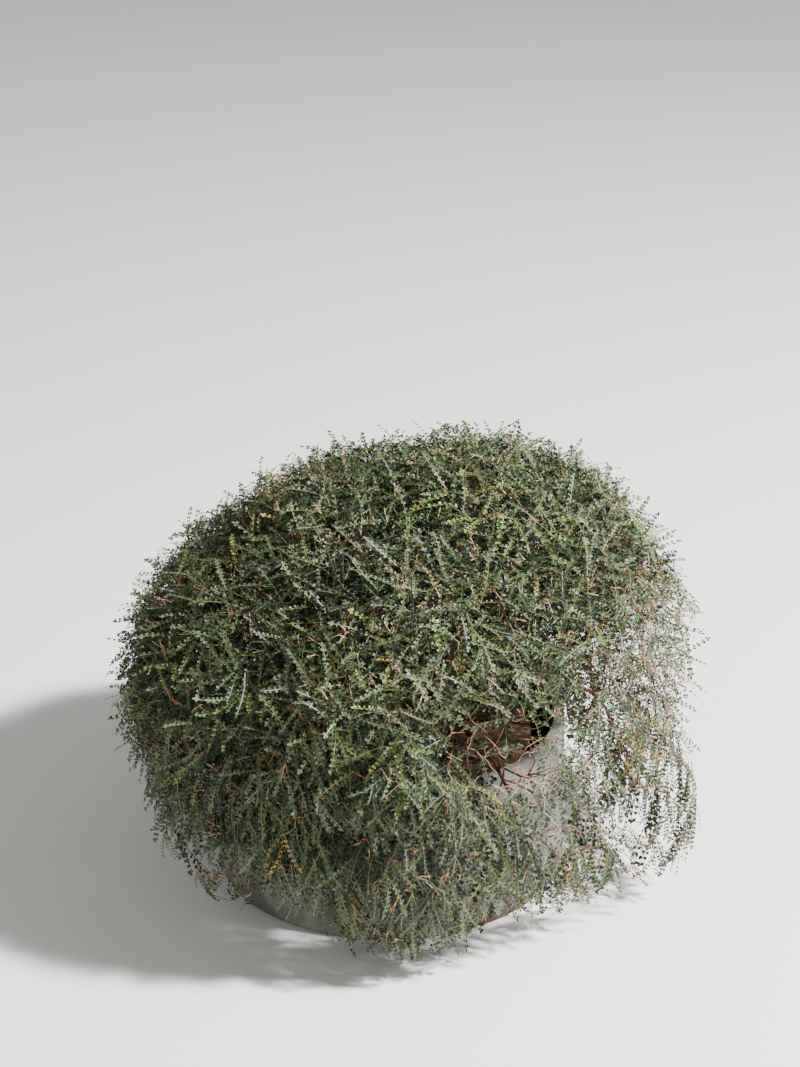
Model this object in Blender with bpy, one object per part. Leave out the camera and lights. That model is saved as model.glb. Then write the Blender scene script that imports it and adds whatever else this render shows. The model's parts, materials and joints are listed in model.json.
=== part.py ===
"""A thorny burnet in a low round cast pot: a dense, spiny cushion of a shrub.

Every length is in metres, +Z is up, and the origin is the centre of the pot's underside.
The front of the shrub faces -Y. A short stool of a trunk stands on the soil. One bough
runs from it to each mass of foliage, and each mass branches from its bough's tip.
"""
import math
import random
from dataclasses import dataclass

import bmesh
import bpy
from mathutils import Matrix, Vector
from mathutils.geometry import intersect_point_line

SEED = 41

# Pot
POT_RADIUS = 0.220
POT_HEIGHT = 0.200
POT_WALL = 0.015
POT_FLOOR = 0.022
POT_LIP_ROUND = 0.005
POT_FOOT_ROUND = 0.006
POT_SIDES = 36
ROUND_STEPS = 2

# Soil
SOIL_BELOW_LIP = 0.028
SOIL_SEAT_RADIUS = 0.066
SOIL_FALL = 0.007
GAP = 0.0003

# Trunk: a short stool with a root flare
TRUNK_HEIGHT = 0.088
TRUNK_FOOT_RADIUS = 0.040
TRUNK_WAIST_RADIUS = 0.024
TRUNK_SIDES = 15
TRUNK_LEVELS = 6
TRUNK_LEAN = 0.006
FLARE_ROOTS = 5
FLARE_DEPTH = 0.22
FLARE_PHASE = 0.7
TRUNK_ROUND_FROM = 0.72
TRUNK_ROUNDING = 0.88
SOCKET_GAP = 0.0004

# Boughs
BOUGH_SIDES = 5
BOUGH_LEVELS = 4
BOUGH_TIP_RADIUS = 0.0030
BOUGH_WANDER = 0.006
BOUGH_SUNK = 0.012
BOUGH_BEND_AT = 0.45
TOP_BOUGH_SPREAD = 0.006

# Crown: the hub is where the masses part, and the window is the gap in front of it
HUB = Vector((0.015, 0.000, 0.240))
CROWN_X = 0.024
WINDOW_CENTRE = Vector((0.118, -0.235, 0.268))
WINDOW_REACH = Vector((0.050, 0.095, 0.036))
HEART_REACH = Vector((0.105, 0.105, 0.095))
GROUND_CLEAR = 0.012
POT_CLEAR = 0.006
LIMB_CLEAR = 0.0022
MASS_MARGIN = 0.0012

# Stems, twigs and leaves of a mass
STEM_SIDES = 5
STEM_STEPS = 3
STEM_END_RADIUS = 0.0026
TWIG_THINNING = 0.80
TWIG_END_RADIUS = 0.0014
TWIG_SIDES = 3
TWIG_STEPS = 2
TWIG_LEAN = 0.35
TWIG_SHORTEST = 0.020
TWIG_TURN_COST = 0.6
SLOPE_STEP = 0.004
TOUCHING = 1e-6
SMOOTH_ANGLE = math.radians(40.0)
STEM_LEAN = 0.5
BOUGH_RISE_WANDER = 0.5
LEAF_SPARE_SHARE = 0.6
NEARLY_UPRIGHT = 0.05
TWIG_JOINTS_TRIED = 4
TARGET_REACH = 0.20
TARGET_CLEAR = 0.010
TARGET_CHOICES = 12
TARGET_ROUNDS = 60
LEAF_PLACES = (1.0, 0.40)
OPEN_LEAF_PLACES = (1.0, 0.62, 0.24)
LEAF_LENGTH = 0.080
LEAF_WIDTH_SHARE = 0.27
LEAF_THICK_SHARE = 0.045
LEAF_SUNK = 0.0035
LEAF_ROOM = 0.012
TWIG_ROOM = 0.006
LEAF_BELLY = 0.48
LEAF_TRIES = 14
LEAF_SHORTEST = 0.75
LEAF_LONGEST = 1.12
LEAF_MARKS = (0.40, 0.70, 1.00)
TIP_SHARE = 1.07
CORE_SHARE = 0.88
CORE_FLOOR = 0.080
CORE_STEP = 0.004
CORE_LONGEST = 0.22
CORE_SPLITS = 3
CORE_FACES_KEPT = 0.42
CORE_SHRINK = 0.92
CORE_ROUNDS = 24
GROWING_TRIES = 6

# The way a leaf points: it rises near the crown's top and hangs more the lower it is
LEAF_AHEAD = 0.45
LEAF_STRAY = 0.55
HANG_BELOW = 0.40
HANG_FALL = 0.28
HANG_PULL = 1.05
HANG_OUT_LOST = 0.55
RISE_FALL = 0.12
RISE_PULL = 0.15


@dataclass(frozen=True)
class Lobe:
    """One swelling of the crown: the crown's outline is that of all its lobes together."""

    centre: Vector
    reach: Vector


TOP_LOBES = (
    Lobe(Vector((0.110, 0.020, 0.330)), Vector((0.240, 0.250, 0.215))),
    Lobe(Vector((0.000, 0.000, 0.310)), Vector((0.250, 0.270, 0.230))),
)
SIDES_OF_CROWN = 6
SHOULDER_TURN = 30.0
SKIRT_TURN = 0.0


def lobe_ring(first_turn, spread, height, tilt, reach):
    """Like lobes round the crown, set higher towards its right side by the tilt."""
    lobes = []
    for side in range(SIDES_OF_CROWN):
        turn = math.radians(first_turn + 360.0 * side / SIDES_OF_CROWN)
        away = Vector((math.cos(turn), math.sin(turn), 0.0))
        centre = Vector((CROWN_X, 0.0, height + tilt * away.x)) + away * spread
        lobes.append(Lobe(centre, reach))
    return lobes


LOBES = (
    *TOP_LOBES,
    *lobe_ring(SHOULDER_TURN, 0.115, 0.290, 0.022, Vector((0.250, 0.250, 0.200))),
    *lobe_ring(SKIRT_TURN, 0.105, 0.165, 0.000, Vector((0.245, 0.245, 0.155))),
    *lobe_ring(SHOULDER_TURN, 0.200, 0.145, 0.000, Vector((0.150, 0.150, 0.150))),
)


@dataclass(frozen=True)
class Ring:
    """A ring of like masses round the crown, each at the end of its own bough."""

    name: str
    count: int
    first_turn: float
    radius: float
    height: float
    bough_from: float
    bough_radius: float
    bough_reach: float
    bough_lift: float
    bough_over_lip: bool
    can_be_open: bool
    shell: tuple
    twigs: int


RINGS = (
    Ring(
        name="top",
        count=3,
        first_turn=60.0,
        radius=0.125,
        height=0.435,
        bough_from=0.90,
        bough_radius=0.0075,
        bough_reach=0.62,
        bough_lift=0.020,
        bough_over_lip=False,
        can_be_open=False,
        shell=(0.78, 0.87),
        twigs=24,
    ),
    Ring(
        name="shoulder",
        count=SIDES_OF_CROWN,
        first_turn=SHOULDER_TURN,
        radius=0.235,
        height=0.325,
        bough_from=0.66,
        bough_radius=0.0070,
        bough_reach=0.56,
        bough_lift=0.022,
        bough_over_lip=False,
        can_be_open=True,
        shell=(0.78, 0.87),
        twigs=23,
    ),
    Ring(
        name="skirt",
        count=SIDES_OF_CROWN,
        first_turn=SKIRT_TURN,
        radius=0.268,
        height=0.165,
        bough_from=0.36,
        bough_radius=0.0062,
        bough_reach=0.74,
        bough_lift=0.060,
        bough_over_lip=True,
        can_be_open=True,
        shell=(0.78, 0.90),
        twigs=17,
    ),
)
BOUGH_OVER_LIP = 0.032
OPEN_SIDE_TURN = -15.0
OPEN_SIDE_SPREAD = 30.0
OPEN_BOUGH_REACH = 0.80
OPEN_TWIGS = 0.72
OPEN_SHELL = (0.66, 0.98)


@dataclass(frozen=True)
class Paint:
    """The finish of one kind of piece."""

    name: str
    colour: tuple
    roughness: float


CONCRETE = Paint("cast_concrete", (0.30, 0.30, 0.28), 0.85)
SOIL = Paint("potting_soil", (0.060, 0.035, 0.022), 0.95)
BARK = Paint("burnet_bark", (0.120, 0.058, 0.036), 0.85)
FOLIAGE = Paint("burnet_foliage", (0.052, 0.078, 0.040), 0.70)


def clear_scene():
    """Removes every object, so that the script gives the same model each time."""
    for thing in list(bpy.data.objects):
        bpy.data.objects.remove(thing, do_unlink=True)


def painted(mesh, paint):
    """Gives a mesh its finish, made once for each kind of piece."""
    material = bpy.data.materials.get(paint.name)
    if material is None:
        material = bpy.data.materials.new(paint.name)
        material.use_nodes = True
        shader = material.node_tree.nodes["Principled BSDF"]
        shader.inputs["Base Color"].default_value = (*paint.colour, 1.0)
        shader.inputs["Roughness"].default_value = paint.roughness
        shader.inputs["Metallic"].default_value = 0.0
        material.diffuse_color = (*paint.colour, 1.0)
    mesh.materials.clear()
    mesh.materials.append(material)


def add_object(name, mesh, parent=None):
    """Links a mesh to the scene as one named piece."""
    thing = bpy.data.objects.new(name, mesh)
    bpy.context.scene.collection.objects.link(thing)
    thing.parent = parent
    return thing


def mesh_from(bm, name):
    """Turns a finished bmesh into a mesh whose faces point outwards."""
    bmesh.ops.recalc_face_normals(bm, faces=bm.faces)
    mesh = bpy.data.meshes.new(name)
    bm.to_mesh(mesh)
    bm.free()
    return mesh


def grown_cap(bm, cap, is_first):
    """Extrudes the end face of a limb and gives the new end; the first face stays as its root."""
    grown = bmesh.ops.extrude_face_region(bm, geom=[cap])["geom"]
    if not is_first:
        bmesh.ops.delete(bm, geom=[cap], context="FACES_ONLY")
    return next(item for item in grown if isinstance(item, bmesh.types.BMFace))


def arc(centre_radius, centre_height, size, start, end):
    """Points of a quarter round on a turned profile, as (radius, height) pairs."""
    points = []
    for step in range(ROUND_STEPS + 1):
        turn = math.radians(start + (end - start) * step / ROUND_STEPS)
        points.append((centre_radius + size * math.cos(turn), centre_height + size * math.sin(turn)))
    return points


def turned(profile, sides, name):
    """Turns a profile that starts and ends on the axis into one closed round solid."""
    bm = bmesh.new()
    corners = [bm.verts.new((radius, 0.0, height)) for radius, height in profile]
    edges = [bm.edges.new(pair) for pair in zip(corners, corners[1:])]
    bmesh.ops.spin(
        bm,
        geom=corners + edges,
        cent=(0.0, 0.0, 0.0),
        axis=(0.0, 0.0, 1.0),
        angle=math.tau,
        steps=sides,
        use_merge=True,
    )
    bmesh.ops.remove_doubles(bm, verts=bm.verts, dist=TOUCHING)
    return mesh_from(bm, name)


def make_pot(parent):
    """The pot: a plain upright wall, a rounded lip and foot, and a flat underside."""
    inner = POT_RADIUS - POT_WALL
    foot = POT_FOOT_ROUND
    lip = POT_LIP_ROUND
    profile = [(0.0, 0.0)]
    profile += arc(POT_RADIUS - foot, foot, foot, -90.0, 0.0)
    profile += arc(POT_RADIUS - lip, POT_HEIGHT - lip, lip, 0.0, 90.0)
    profile += arc(inner + lip, POT_HEIGHT - lip, lip, 90.0, 180.0)
    profile += [(inner, POT_FLOOR), (0.0, POT_FLOOR)]
    mesh = turned(profile, POT_SIDES, "pot")
    mesh.shade_smooth()
    mesh.set_sharp_from_angle(angle=SMOOTH_ANGLE)
    painted(mesh, CONCRETE)
    return add_object("pot", mesh, parent)


def soil_top():
    """The height of the level patch of soil that the trunk stands on."""
    return POT_HEIGHT - SOIL_BELOW_LIP


def make_soil(parent):
    """The soil: it fills the pot, level round the trunk and falling a little to the wall."""
    edge = POT_RADIUS - POT_WALL - GAP
    bottom = POT_FLOOR + GAP
    profile = [
        (0.0, bottom),
        (edge, bottom),
        (edge, soil_top() - SOIL_FALL),
        (SOIL_SEAT_RADIUS, soil_top()),
        (0.0, soil_top()),
    ]
    mesh = turned(profile, POT_SIDES, "soil")
    mesh.shade_smooth()
    mesh.set_sharp_from_angle(angle=SMOOTH_ANGLE)
    painted(mesh, SOIL)
    return add_object("soil", mesh, parent)


def trunk_axis(share):
    """The middle of the trunk at a share of its height."""
    height = soil_top() + GAP + TRUNK_HEIGHT * share
    return Vector((HUB.x * share + TRUNK_LEAN * math.sin(math.pi * share), 0.0, height))


def trunk_radius(share, turn):
    """The trunk's radius: lobed roots at the foot, a waist, and a round crown."""
    flare = (1.0 - share) ** 3
    radius = TRUNK_WAIST_RADIUS + (TRUNK_FOOT_RADIUS - TRUNK_WAIST_RADIUS) * flare
    radius *= 1.0 + FLARE_DEPTH * flare * math.cos(FLARE_ROOTS * turn + FLARE_PHASE)
    rounding = max(0.0, (share - TRUNK_ROUND_FROM) / (1.0 - TRUNK_ROUND_FROM))
    return radius * math.sqrt(1.0 - TRUNK_ROUNDING * rounding**2)


def make_trunk(parent):
    """The trunk: a short leaning stool, cut flat where it meets the soil."""
    bm = bmesh.new()
    ring = bmesh.ops.create_circle(bm, cap_ends=True, segments=TRUNK_SIDES, radius=1.0)["verts"]
    cap = ring[0].link_faces[0]
    centre = Vector((0.0, 0.0, 0.0))
    for level in range(TRUNK_LEVELS + 1):
        share = level / TRUNK_LEVELS
        if level:
            cap = grown_cap(bm, cap, level == 1)
        middle = trunk_axis(share)
        for corner in cap.verts:
            turn = math.atan2(corner.co.y - centre.y, corner.co.x - centre.x)
            radius = trunk_radius(share, turn)
            corner.co = middle + Vector((radius * math.cos(turn), radius * math.sin(turn), 0.0))
        centre = middle
    mesh = mesh_from(bm, "trunk")
    painted(mesh, BARK)
    return add_object("trunk", mesh, parent)


@dataclass
class Limb:
    """A tapering limb: the points along its middle and its radius at each."""

    path: list
    radii: list

    @property
    def span(self):
        """How far the limb reaches from its root, its thickness included."""
        return max((point - self.path[0]).length for point in self.path) + max(self.radii)


@dataclass
class Mass:
    """One mass of foliage: its name, its heart, and the bough that carries it."""

    name: str
    ring: Ring
    turn: float
    heart: Vector
    is_open: bool
    bough: Limb = None


def along_curve(start, lean, end, steps):
    """Points of a bent line from start to end that leaves towards lean."""
    points = []
    for step in range(steps + 1):
        share = step / steps
        rest = 1.0 - share
        points.append(start * rest**2 + lean * (2.0 * rest * share) + end * share**2)
    return points


def tapered(first, last, count):
    """Radii that fall evenly from the first to the last."""
    return [first + (last - first) * step / (count - 1) for step in range(count)]


def make_masses():
    """Places the heart of every mass, ring by ring, and routes the bough that carries it."""
    masses = []
    for ring in RINGS:
        for index in range(ring.count):
            turn = ring.first_turn + 360.0 * index / ring.count
            away = Vector((math.cos(math.radians(turn)), math.sin(math.radians(turn)), 0.0))
            heart = Vector((HUB.x, HUB.y, ring.height)) + away * ring.radius
            off_side = abs((turn - OPEN_SIDE_TURN + 180.0) % 360.0 - 180.0)
            is_open = ring.can_be_open and off_side < OPEN_SIDE_SPREAD
            masses.append(Mass(f"{ring.name}_{index + 1}", ring, turn, heart, is_open))
    for number, mass in enumerate(masses):
        mass.bough = route_bough(mass, random.Random(SEED * 100 + number))
    return masses


def route_bough(mass, dice):
    """One bough: out of the trunk's side, and up or over the pot's lip to its mass."""
    ring = mass.ring
    away = Vector((math.cos(math.radians(mass.turn)), math.sin(math.radians(mass.turn)), 0.0))
    root = trunk_axis(ring.bough_from)
    reach = OPEN_BOUGH_REACH if mass.is_open else ring.bough_reach
    end = root.lerp(mass.heart, reach)
    if ring.bough_over_lip:
        end.z = POT_HEIGHT + BOUGH_OVER_LIP
    bend = root.lerp(end, BOUGH_BEND_AT)
    if ring.bough_over_lip:
        bend.z = root.z
    lean = bend + Vector((0.0, 0.0, ring.bough_lift))
    start = root + (lean - root).normalized() * (TRUNK_WAIST_RADIUS - BOUGH_SUNK)
    if not ring.can_be_open:
        start = root + away * TOP_BOUGH_SPREAD
    path = along_curve(start, lean, end, BOUGH_LEVELS)
    side = away.cross(Vector((0.0, 0.0, 1.0)))
    for step in range(1, BOUGH_LEVELS):
        wander = math.sin(math.pi * step / BOUGH_LEVELS) * BOUGH_WANDER
        path[step] += side * (wander * dice.uniform(-1.0, 1.0))
        path[step].z += wander * dice.uniform(-BOUGH_RISE_WANDER, BOUGH_RISE_WANDER)
    return Limb(path, tapered(ring.bough_radius, BOUGH_TIP_RADIUS, BOUGH_LEVELS + 1))


def frames_along(path):
    """A frame at each point of a path, its Z along the path and never twisting suddenly."""
    frames = []
    across = None
    for index, point in enumerate(path):
        before = path[max(index - 1, 0)]
        after = path[min(index + 1, len(path) - 1)]
        ahead = (after - before).normalized()
        if across is None:
            across = ahead.orthogonal().normalized()
        across = (across - ahead * across.dot(ahead)).normalized()
        side = ahead.cross(across)
        frame = Matrix((across, side, ahead)).transposed().to_4x4()
        frame.translation = point
        frames.append(frame)
    return frames


def limb_mesh(limb, sides, name):
    """One closed limb: a small polygon extruded from point to point and scaled to taper."""
    frames = frames_along(limb.path)
    bm = bmesh.new()
    ring = bmesh.ops.create_circle(
        bm, cap_ends=True, segments=sides, radius=limb.radii[0], matrix=frames[0]
    )["verts"]
    cap = ring[0].link_faces[0]
    for index in range(1, len(frames)):
        cap = grown_cap(bm, cap, index == 1)
        shrink = Matrix.Scale(limb.radii[index] / limb.radii[index - 1], 4)
        step = frames[index] @ shrink @ frames[index - 1].inverted()
        bmesh.ops.transform(bm, matrix=step, verts=list(cap.verts))
    return mesh_from(bm, name)


def baked_mesh(thing, name):
    """The mesh of an object with its modifiers applied."""
    bpy.context.view_layer.update()
    seen = thing.evaluated_get(bpy.context.evaluated_depsgraph_get())
    mesh = bpy.data.meshes.new_from_object(seen)
    mesh.name = name
    return mesh


def make_bough(mass, trunk, parent):
    """One bough, its root cut to fit round the trunk with a hair's gap."""
    thing = add_object(f"bough_{mass.name}", limb_mesh(mass.bough, BOUGH_SIDES, "limb"))
    swollen = add_object("trunk_cutter", trunk.data.copy())
    normals = [vertex.normal.copy() for vertex in swollen.data.vertices]
    for vertex, normal in zip(swollen.data.vertices, normals):
        vertex.co += normal * SOCKET_GAP
    cut = thing.modifiers.new("socket", "BOOLEAN")
    cut.operation = "DIFFERENCE"
    cut.solver = "EXACT"
    cut.object = swollen
    mesh = baked_mesh(thing, thing.name)
    thing.modifiers.clear()
    bpy.data.objects.remove(swollen, do_unlink=True)
    keep_main_body(mesh)
    painted(mesh, BARK)
    thing.data = mesh
    thing.parent = parent
    return thing


def crown_share(point):
    """How far out a point is: 0 at a lobe's middle, 1 on the crown's outline."""
    best = math.inf
    for lobe in LOBES:
        off = point - lobe.centre
        share = math.hypot(off.x / lobe.reach.x, off.y / lobe.reach.y, off.z / lobe.reach.z)
        best = min(best, share)
    return best


def outward(point):
    """The way out of the crown from a point, square to its outline."""
    step = SLOPE_STEP
    slope = Vector(
        crown_share(point + axis * step) - crown_share(point - axis * step)
        for axis in (Vector((1, 0, 0)), Vector((0, 1, 0)), Vector((0, 0, 1)))
    )
    return slope.normalized() if slope.length > TOUCHING else Vector((0.0, 0.0, 1.0))


def inside(point, centre, reach):
    """Whether a point lies in an egg round a centre."""
    off = point - centre
    return math.hypot(off.x / reach.x, off.y / reach.y, off.z / reach.z) < 1.0


def hits_pot(point, clear):
    """Whether a point is in the pot or over its soil, or too near them."""
    return point.z < POT_HEIGHT + clear and math.hypot(point.x, point.y) < POT_RADIUS + clear


def hits_limb(point, limbs, clear):
    """Whether a point is nearer to a limb than the limb's radius and a clearance."""
    for limb in limbs:
        if (point - limb.path[0]).length > limb.span + clear:
            continue
        for index in range(len(limb.path) - 1):
            share = intersect_point_line(point, limb.path[index], limb.path[index + 1])[1]
            share = min(max(share, 0.0), 1.0)
            near = limb.path[index].lerp(limb.path[index + 1], share)
            radius = limb.radii[index] + (limb.radii[index + 1] - limb.radii[index]) * share
            if (point - near).length < radius + clear:
                return True
    return False


class Space:
    """The space of one mass: what is nearer to its heart than to any other's."""

    def __init__(self, mass, masses, limbs):
        self.mass = mass
        self.others = [other.heart for other in masses if other is not mass]
        self.limbs = limbs

    def owns(self, point):
        """Whether a point is on this mass's side of every border, by a small margin."""
        for other in self.others:
            border = other - self.mass.heart
            off = (point - self.mass.heart.lerp(other, 0.5)).dot(border.normalized())
            if off > -MASS_MARGIN:
                return False
        return True

    def takes(self, point, share, clear):
        """Whether a point may be part of this mass."""
        return (
            point.z > GROUND_CLEAR
            and crown_share(point) < share
            and not hits_pot(point, POT_CLEAR)
            and not inside(point, WINDOW_CENTRE, WINDOW_REACH)
            and self.owns(point)
            and not hits_limb(point, self.limbs, clear)
        )


def spread_targets(space, count, dice):
    """Points spread evenly through the outer shell of a mass's space."""
    low, high = OPEN_SHELL if space.mass.is_open else space.mass.ring.shell
    heart = space.mass.heart
    targets = []
    for _ in range(count * TARGET_ROUNDS):
        best = None
        for _ in range(TARGET_CHOICES):
            off = Vector((dice.uniform(-1, 1), dice.uniform(-1, 1), dice.uniform(-1, 1)))
            point = heart + off * TARGET_REACH
            if not low < crown_share(point) < high or not space.takes(point, high, TARGET_CLEAR):
                continue
            room = min(((point - other).length for other in targets), default=1.0)
            if best is None or room > best[0]:
                best = (room, point)
        if best:
            targets.append(best[1])
        if len(targets) == count:
            break
    return targets


@dataclass
class Node:
    """A point on a growing twig, with the way the twig runs there and its radius."""

    place: Vector
    ahead: Vector
    radius: float


def nodes_of(limb):
    """The points of a limb past its root that twigs can branch from."""
    nodes = []
    for before, after, radius in zip(limb.path, limb.path[1:], limb.radii[1:]):
        nodes.append(Node(after, (after - before).normalized(), radius))
    return nodes


def grow_stem(mass):
    """The mass's stem: it carries on from its bough's tip towards the heart and past it."""
    tip = mass.bough.path[-1]
    ahead = (tip - mass.bough.path[-2]).normalized()
    start = tip + ahead * GAP
    length = (mass.heart - start).length
    lean = start + ahead * (STEM_LEAN * length)
    path = along_curve(start, lean, mass.heart, STEM_STEPS)
    path[1] = start + ahead * (path[1] - start).length
    return Limb(path, tapered(BOUGH_TIP_RADIUS, STEM_END_RADIUS, STEM_STEPS + 1))


def grow_twigs(space, stem, dice):
    """Joins each target to the nearest fit point of the twigs grown so far."""
    nodes = nodes_of(stem)
    twigs = []
    root = stem.path[0]
    count = space.mass.ring.twigs
    if space.mass.is_open:
        count = round(count * OPEN_TWIGS)
    targets = spread_targets(space, count, dice)
    for target in sorted(targets, key=lambda place: (place - root).length):
        ranked = sorted(nodes, key=lambda item: joining_cost(item, target))
        for node in ranked[:TWIG_JOINTS_TRIED]:
            lean = node.place + node.ahead * (TWIG_LEAN * (target - node.place).length)
            path = along_curve(node.place, lean, target, TWIG_STEPS)
            radius = max(node.radius * TWIG_THINNING, TWIG_END_RADIUS)
            if all(space.takes(point, TIP_SHARE, LIMB_CLEAR + radius) for point in path[1:]):
                twigs.append(Limb(path, tapered(radius, TWIG_END_RADIUS, len(path))))
                nodes += nodes_of(twigs[-1])
                break
    return twigs


def joining_cost(node, target):
    """How far a target is from a node, longer where the twig would have to turn back."""
    off = target - node.place
    if off.length < TWIG_SHORTEST:
        return math.inf
    return off.length * (1.0 + TWIG_TURN_COST * (1.0 - off.normalized().dot(node.ahead)))


def leaf_way(point, ahead, dice):
    """Which way a leaf points: out of the crown, and hanging more the lower it is."""
    hang = min(max((HANG_BELOW - point.z) / HANG_FALL, 0.0), 1.0)
    rise = min(max((point.z - HANG_BELOW) / RISE_FALL, 0.0), 1.0)
    stray = Vector((dice.uniform(-1, 1), dice.uniform(-1, 1), dice.uniform(-1, 1))) * LEAF_STRAY
    way = outward(point) * (1.0 - HANG_OUT_LOST * hang) + ahead * LEAF_AHEAD + stray
    way.z += RISE_PULL * rise - HANG_PULL * hang
    return way.normalized()


def leaf_frame(point, way, length):
    """Places the unit leaf: X across it, Y along it, Z through its thickness."""
    across = way.cross(Vector((0.0, 0.0, 1.0)))
    if across.length < NEARLY_UPRIGHT:
        across = way.cross(outward(point))
    across.normalize()
    through = across.cross(way)
    size = Matrix.Diagonal((length * LEAF_WIDTH_SHARE, length, length * LEAF_THICK_SHARE, 1.0))
    frame = Matrix((across, way, through)).transposed().to_4x4()
    frame.translation = point
    return frame @ size


def leaf_fits(space, frame):
    """Whether a leaf keeps to its mass's space and off the limbs."""
    along = [frame @ Vector((0.0, share, 0.0)) for share in (0.25, 0.50, 0.75, 1.00)]
    sides = [frame @ Vector((side, LEAF_BELLY, 0.0)) for side in (-0.5, 0.5)]
    root = frame @ Vector((0.0, 0.0, 0.0))
    half = LEAF_LENGTH * LEAF_WIDTH_SHARE * 0.5
    if not space.owns(root) or hits_limb(root, space.limbs, LIMB_CLEAR):
        return False
    if not all(space.takes(point, TIP_SHARE, LIMB_CLEAR) for point in sides):
        return False
    return all(space.takes(point, TIP_SHARE, LIMB_CLEAR + LEAF_SPARE_SHARE * half) for point in along)


def is_crowded(frame, frames, twigs):
    """Whether a leaf would lie on another leaf or across a twig."""
    marks = [frame @ Vector((0.0, share, 0.0)) for share in LEAF_MARKS]
    for other in frames:
        for share in LEAF_MARKS:
            place = other @ Vector((0.0, share, 0.0))
            if any((mark - place).length < LEAF_ROOM for mark in marks):
                return True
    for mark in marks:
        for twig in twigs:
            for first, last in zip(twig.path, twig.path[1:]):
                share = min(max(intersect_point_line(mark, first, last)[1], 0.0), 1.0)
                if (mark - first.lerp(last, share)).length < TWIG_ROOM:
                    return True
    return False


def place_leaves(space, twigs, dice):
    """Frames for the leaves: one at each twig's end and others along its outer part."""
    frames = []
    bare = twigs if space.mass.is_open else []
    for twig in twigs:
        first, last = twig.path[-2], twig.path[-1]
        ahead = (last - first).normalized()
        for share in OPEN_LEAF_PLACES if space.mass.is_open else LEAF_PLACES:
            root = first.lerp(last, share)
            if share == 1.0:
                root -= ahead * LEAF_SUNK
            for _ in range(LEAF_TRIES):
                length = LEAF_LENGTH * dice.uniform(LEAF_SHORTEST, LEAF_LONGEST)
                frame = leaf_frame(root, leaf_way(root, ahead, dice), length)
                if leaf_fits(space, frame) and not is_crowded(frame, frames, bare):
                    frames.append(frame)
                    break
    return frames


def unit_leaf():
    """A leaf one unit long and wide: a lens of eight faces, pointed at both ends."""
    bm = bmesh.new()
    for corner in ((0, 0, 0), (0, 1, 0)):
        bm.verts.new(corner)
    for side in (-0.5, 0.5):
        bm.verts.new((side, LEAF_BELLY, 0.0))
        bm.verts.new((0.0, LEAF_BELLY, side))
    bmesh.ops.convex_hull(bm, input=bm.verts)
    return mesh_from(bm, "leaf")


def core_mesh(space):
    """The dense inside of a mass: a ball pushed out from the heart as far as it fits."""
    bm = bmesh.new()
    bmesh.ops.create_icosphere(bm, subdivisions=CORE_SPLITS, radius=1.0)
    heart = space.mass.heart
    for vert in bm.verts:
        way = vert.co.normalized()
        reach = 0.0
        while reach < CORE_LONGEST and core_takes(space, heart + way * (reach + CORE_STEP)):
            reach += CORE_STEP
        vert.co = heart + way * reach
    thin_out(bm)
    for _ in range(CORE_ROUNDS):
        tight = [face for face in bm.faces if not face_fits(space, face)]
        if not tight:
            break
        for vert in {vert for face in tight for vert in face.verts}:
            vert.co = heart.lerp(vert.co, CORE_SHRINK)
    return mesh_from(bm, "core")


def thin_out(bm):
    """Takes faces out of a core where it is flattest."""
    thing = add_object("core_guide", bpy.data.meshes.new("core_guide"))
    bm.to_mesh(thing.data)
    fewer = thing.modifiers.new("fewer", "DECIMATE")
    fewer.ratio = CORE_FACES_KEPT
    mesh = baked_mesh(thing, "core_thinned")
    bm.clear()
    bm.from_mesh(mesh)
    bpy.data.objects.remove(thing, do_unlink=True)


def core_takes(space, point):
    """Whether the core may hold a point: not low down, nor in the crown's bare inside."""
    if point.z < CORE_FLOOR or inside(point, HUB, HEART_REACH):
        return False
    return space.takes(point, CORE_SHARE, LIMB_CLEAR)


def face_fits(space, face):
    """Whether a face of the core keeps off the limbs, the pot and the bare inside."""
    middle = face.calc_center_median()
    points = [middle]
    for edge in face.edges:
        points += [edge.verts[0].co.lerp(edge.verts[1].co, share) for share in (0.25, 0.5, 0.75)]
    points += [middle.lerp(vert.co, 0.5) for vert in face.verts]
    return all(core_takes(space, point) for point in points)


def keep_main_body(mesh):
    """Keeps the largest body of a mesh: scraps are dropped and sealed hollows filled."""
    bm = bmesh.new()
    bm.from_mesh(mesh)
    left = set(bm.verts)
    bodies = []
    while left:
        body = {left.pop()}
        front = list(body)
        while front:
            for edge in front.pop().link_edges:
                for vert in edge.verts:
                    if vert in left:
                        left.discard(vert)
                        body.add(vert)
                        front.append(vert)
        bodies.append(body)
    bodies.sort(key=len)
    scraps = [vert for body in bodies[:-1] for vert in body]
    bmesh.ops.delete(bm, geom=scraps, context="VERTS")
    bmesh.ops.triangulate(bm, faces=bm.faces)
    bm.to_mesh(mesh)
    bm.free()


def is_closed(mesh):
    """Whether every edge of a mesh lies between just two faces."""
    bm = bmesh.new()
    bm.from_mesh(mesh)
    closed = all(edge.is_manifold for edge in bm.edges)
    bm.free()
    return closed


def joined(stem, pieces, name):
    """Joins twigs, leaves and core to a stem in one union; gives nothing if it isn't closed."""
    thing = add_object(name, stem)
    parts = bpy.data.collections.new("parts_of_mass")
    bpy.context.scene.collection.children.link(parts)
    for mesh, frame in pieces:
        piece = bpy.data.objects.new("piece", mesh)
        piece.matrix_world = frame
        parts.objects.link(piece)
    join = thing.modifiers.new("join", "BOOLEAN")
    join.operation = "UNION"
    join.operand_type = "COLLECTION"
    join.collection = parts
    for solver in ("EXACT", "MANIFOLD"):
        join.solver = solver
        mesh = baked_mesh(thing, name)
        keep_main_body(mesh)
        if is_closed(mesh):
            break
        mesh = None
    for piece in [*parts.objects, thing]:
        bpy.data.objects.remove(piece, do_unlink=True)
    bpy.data.collections.remove(parts)
    return mesh


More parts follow.
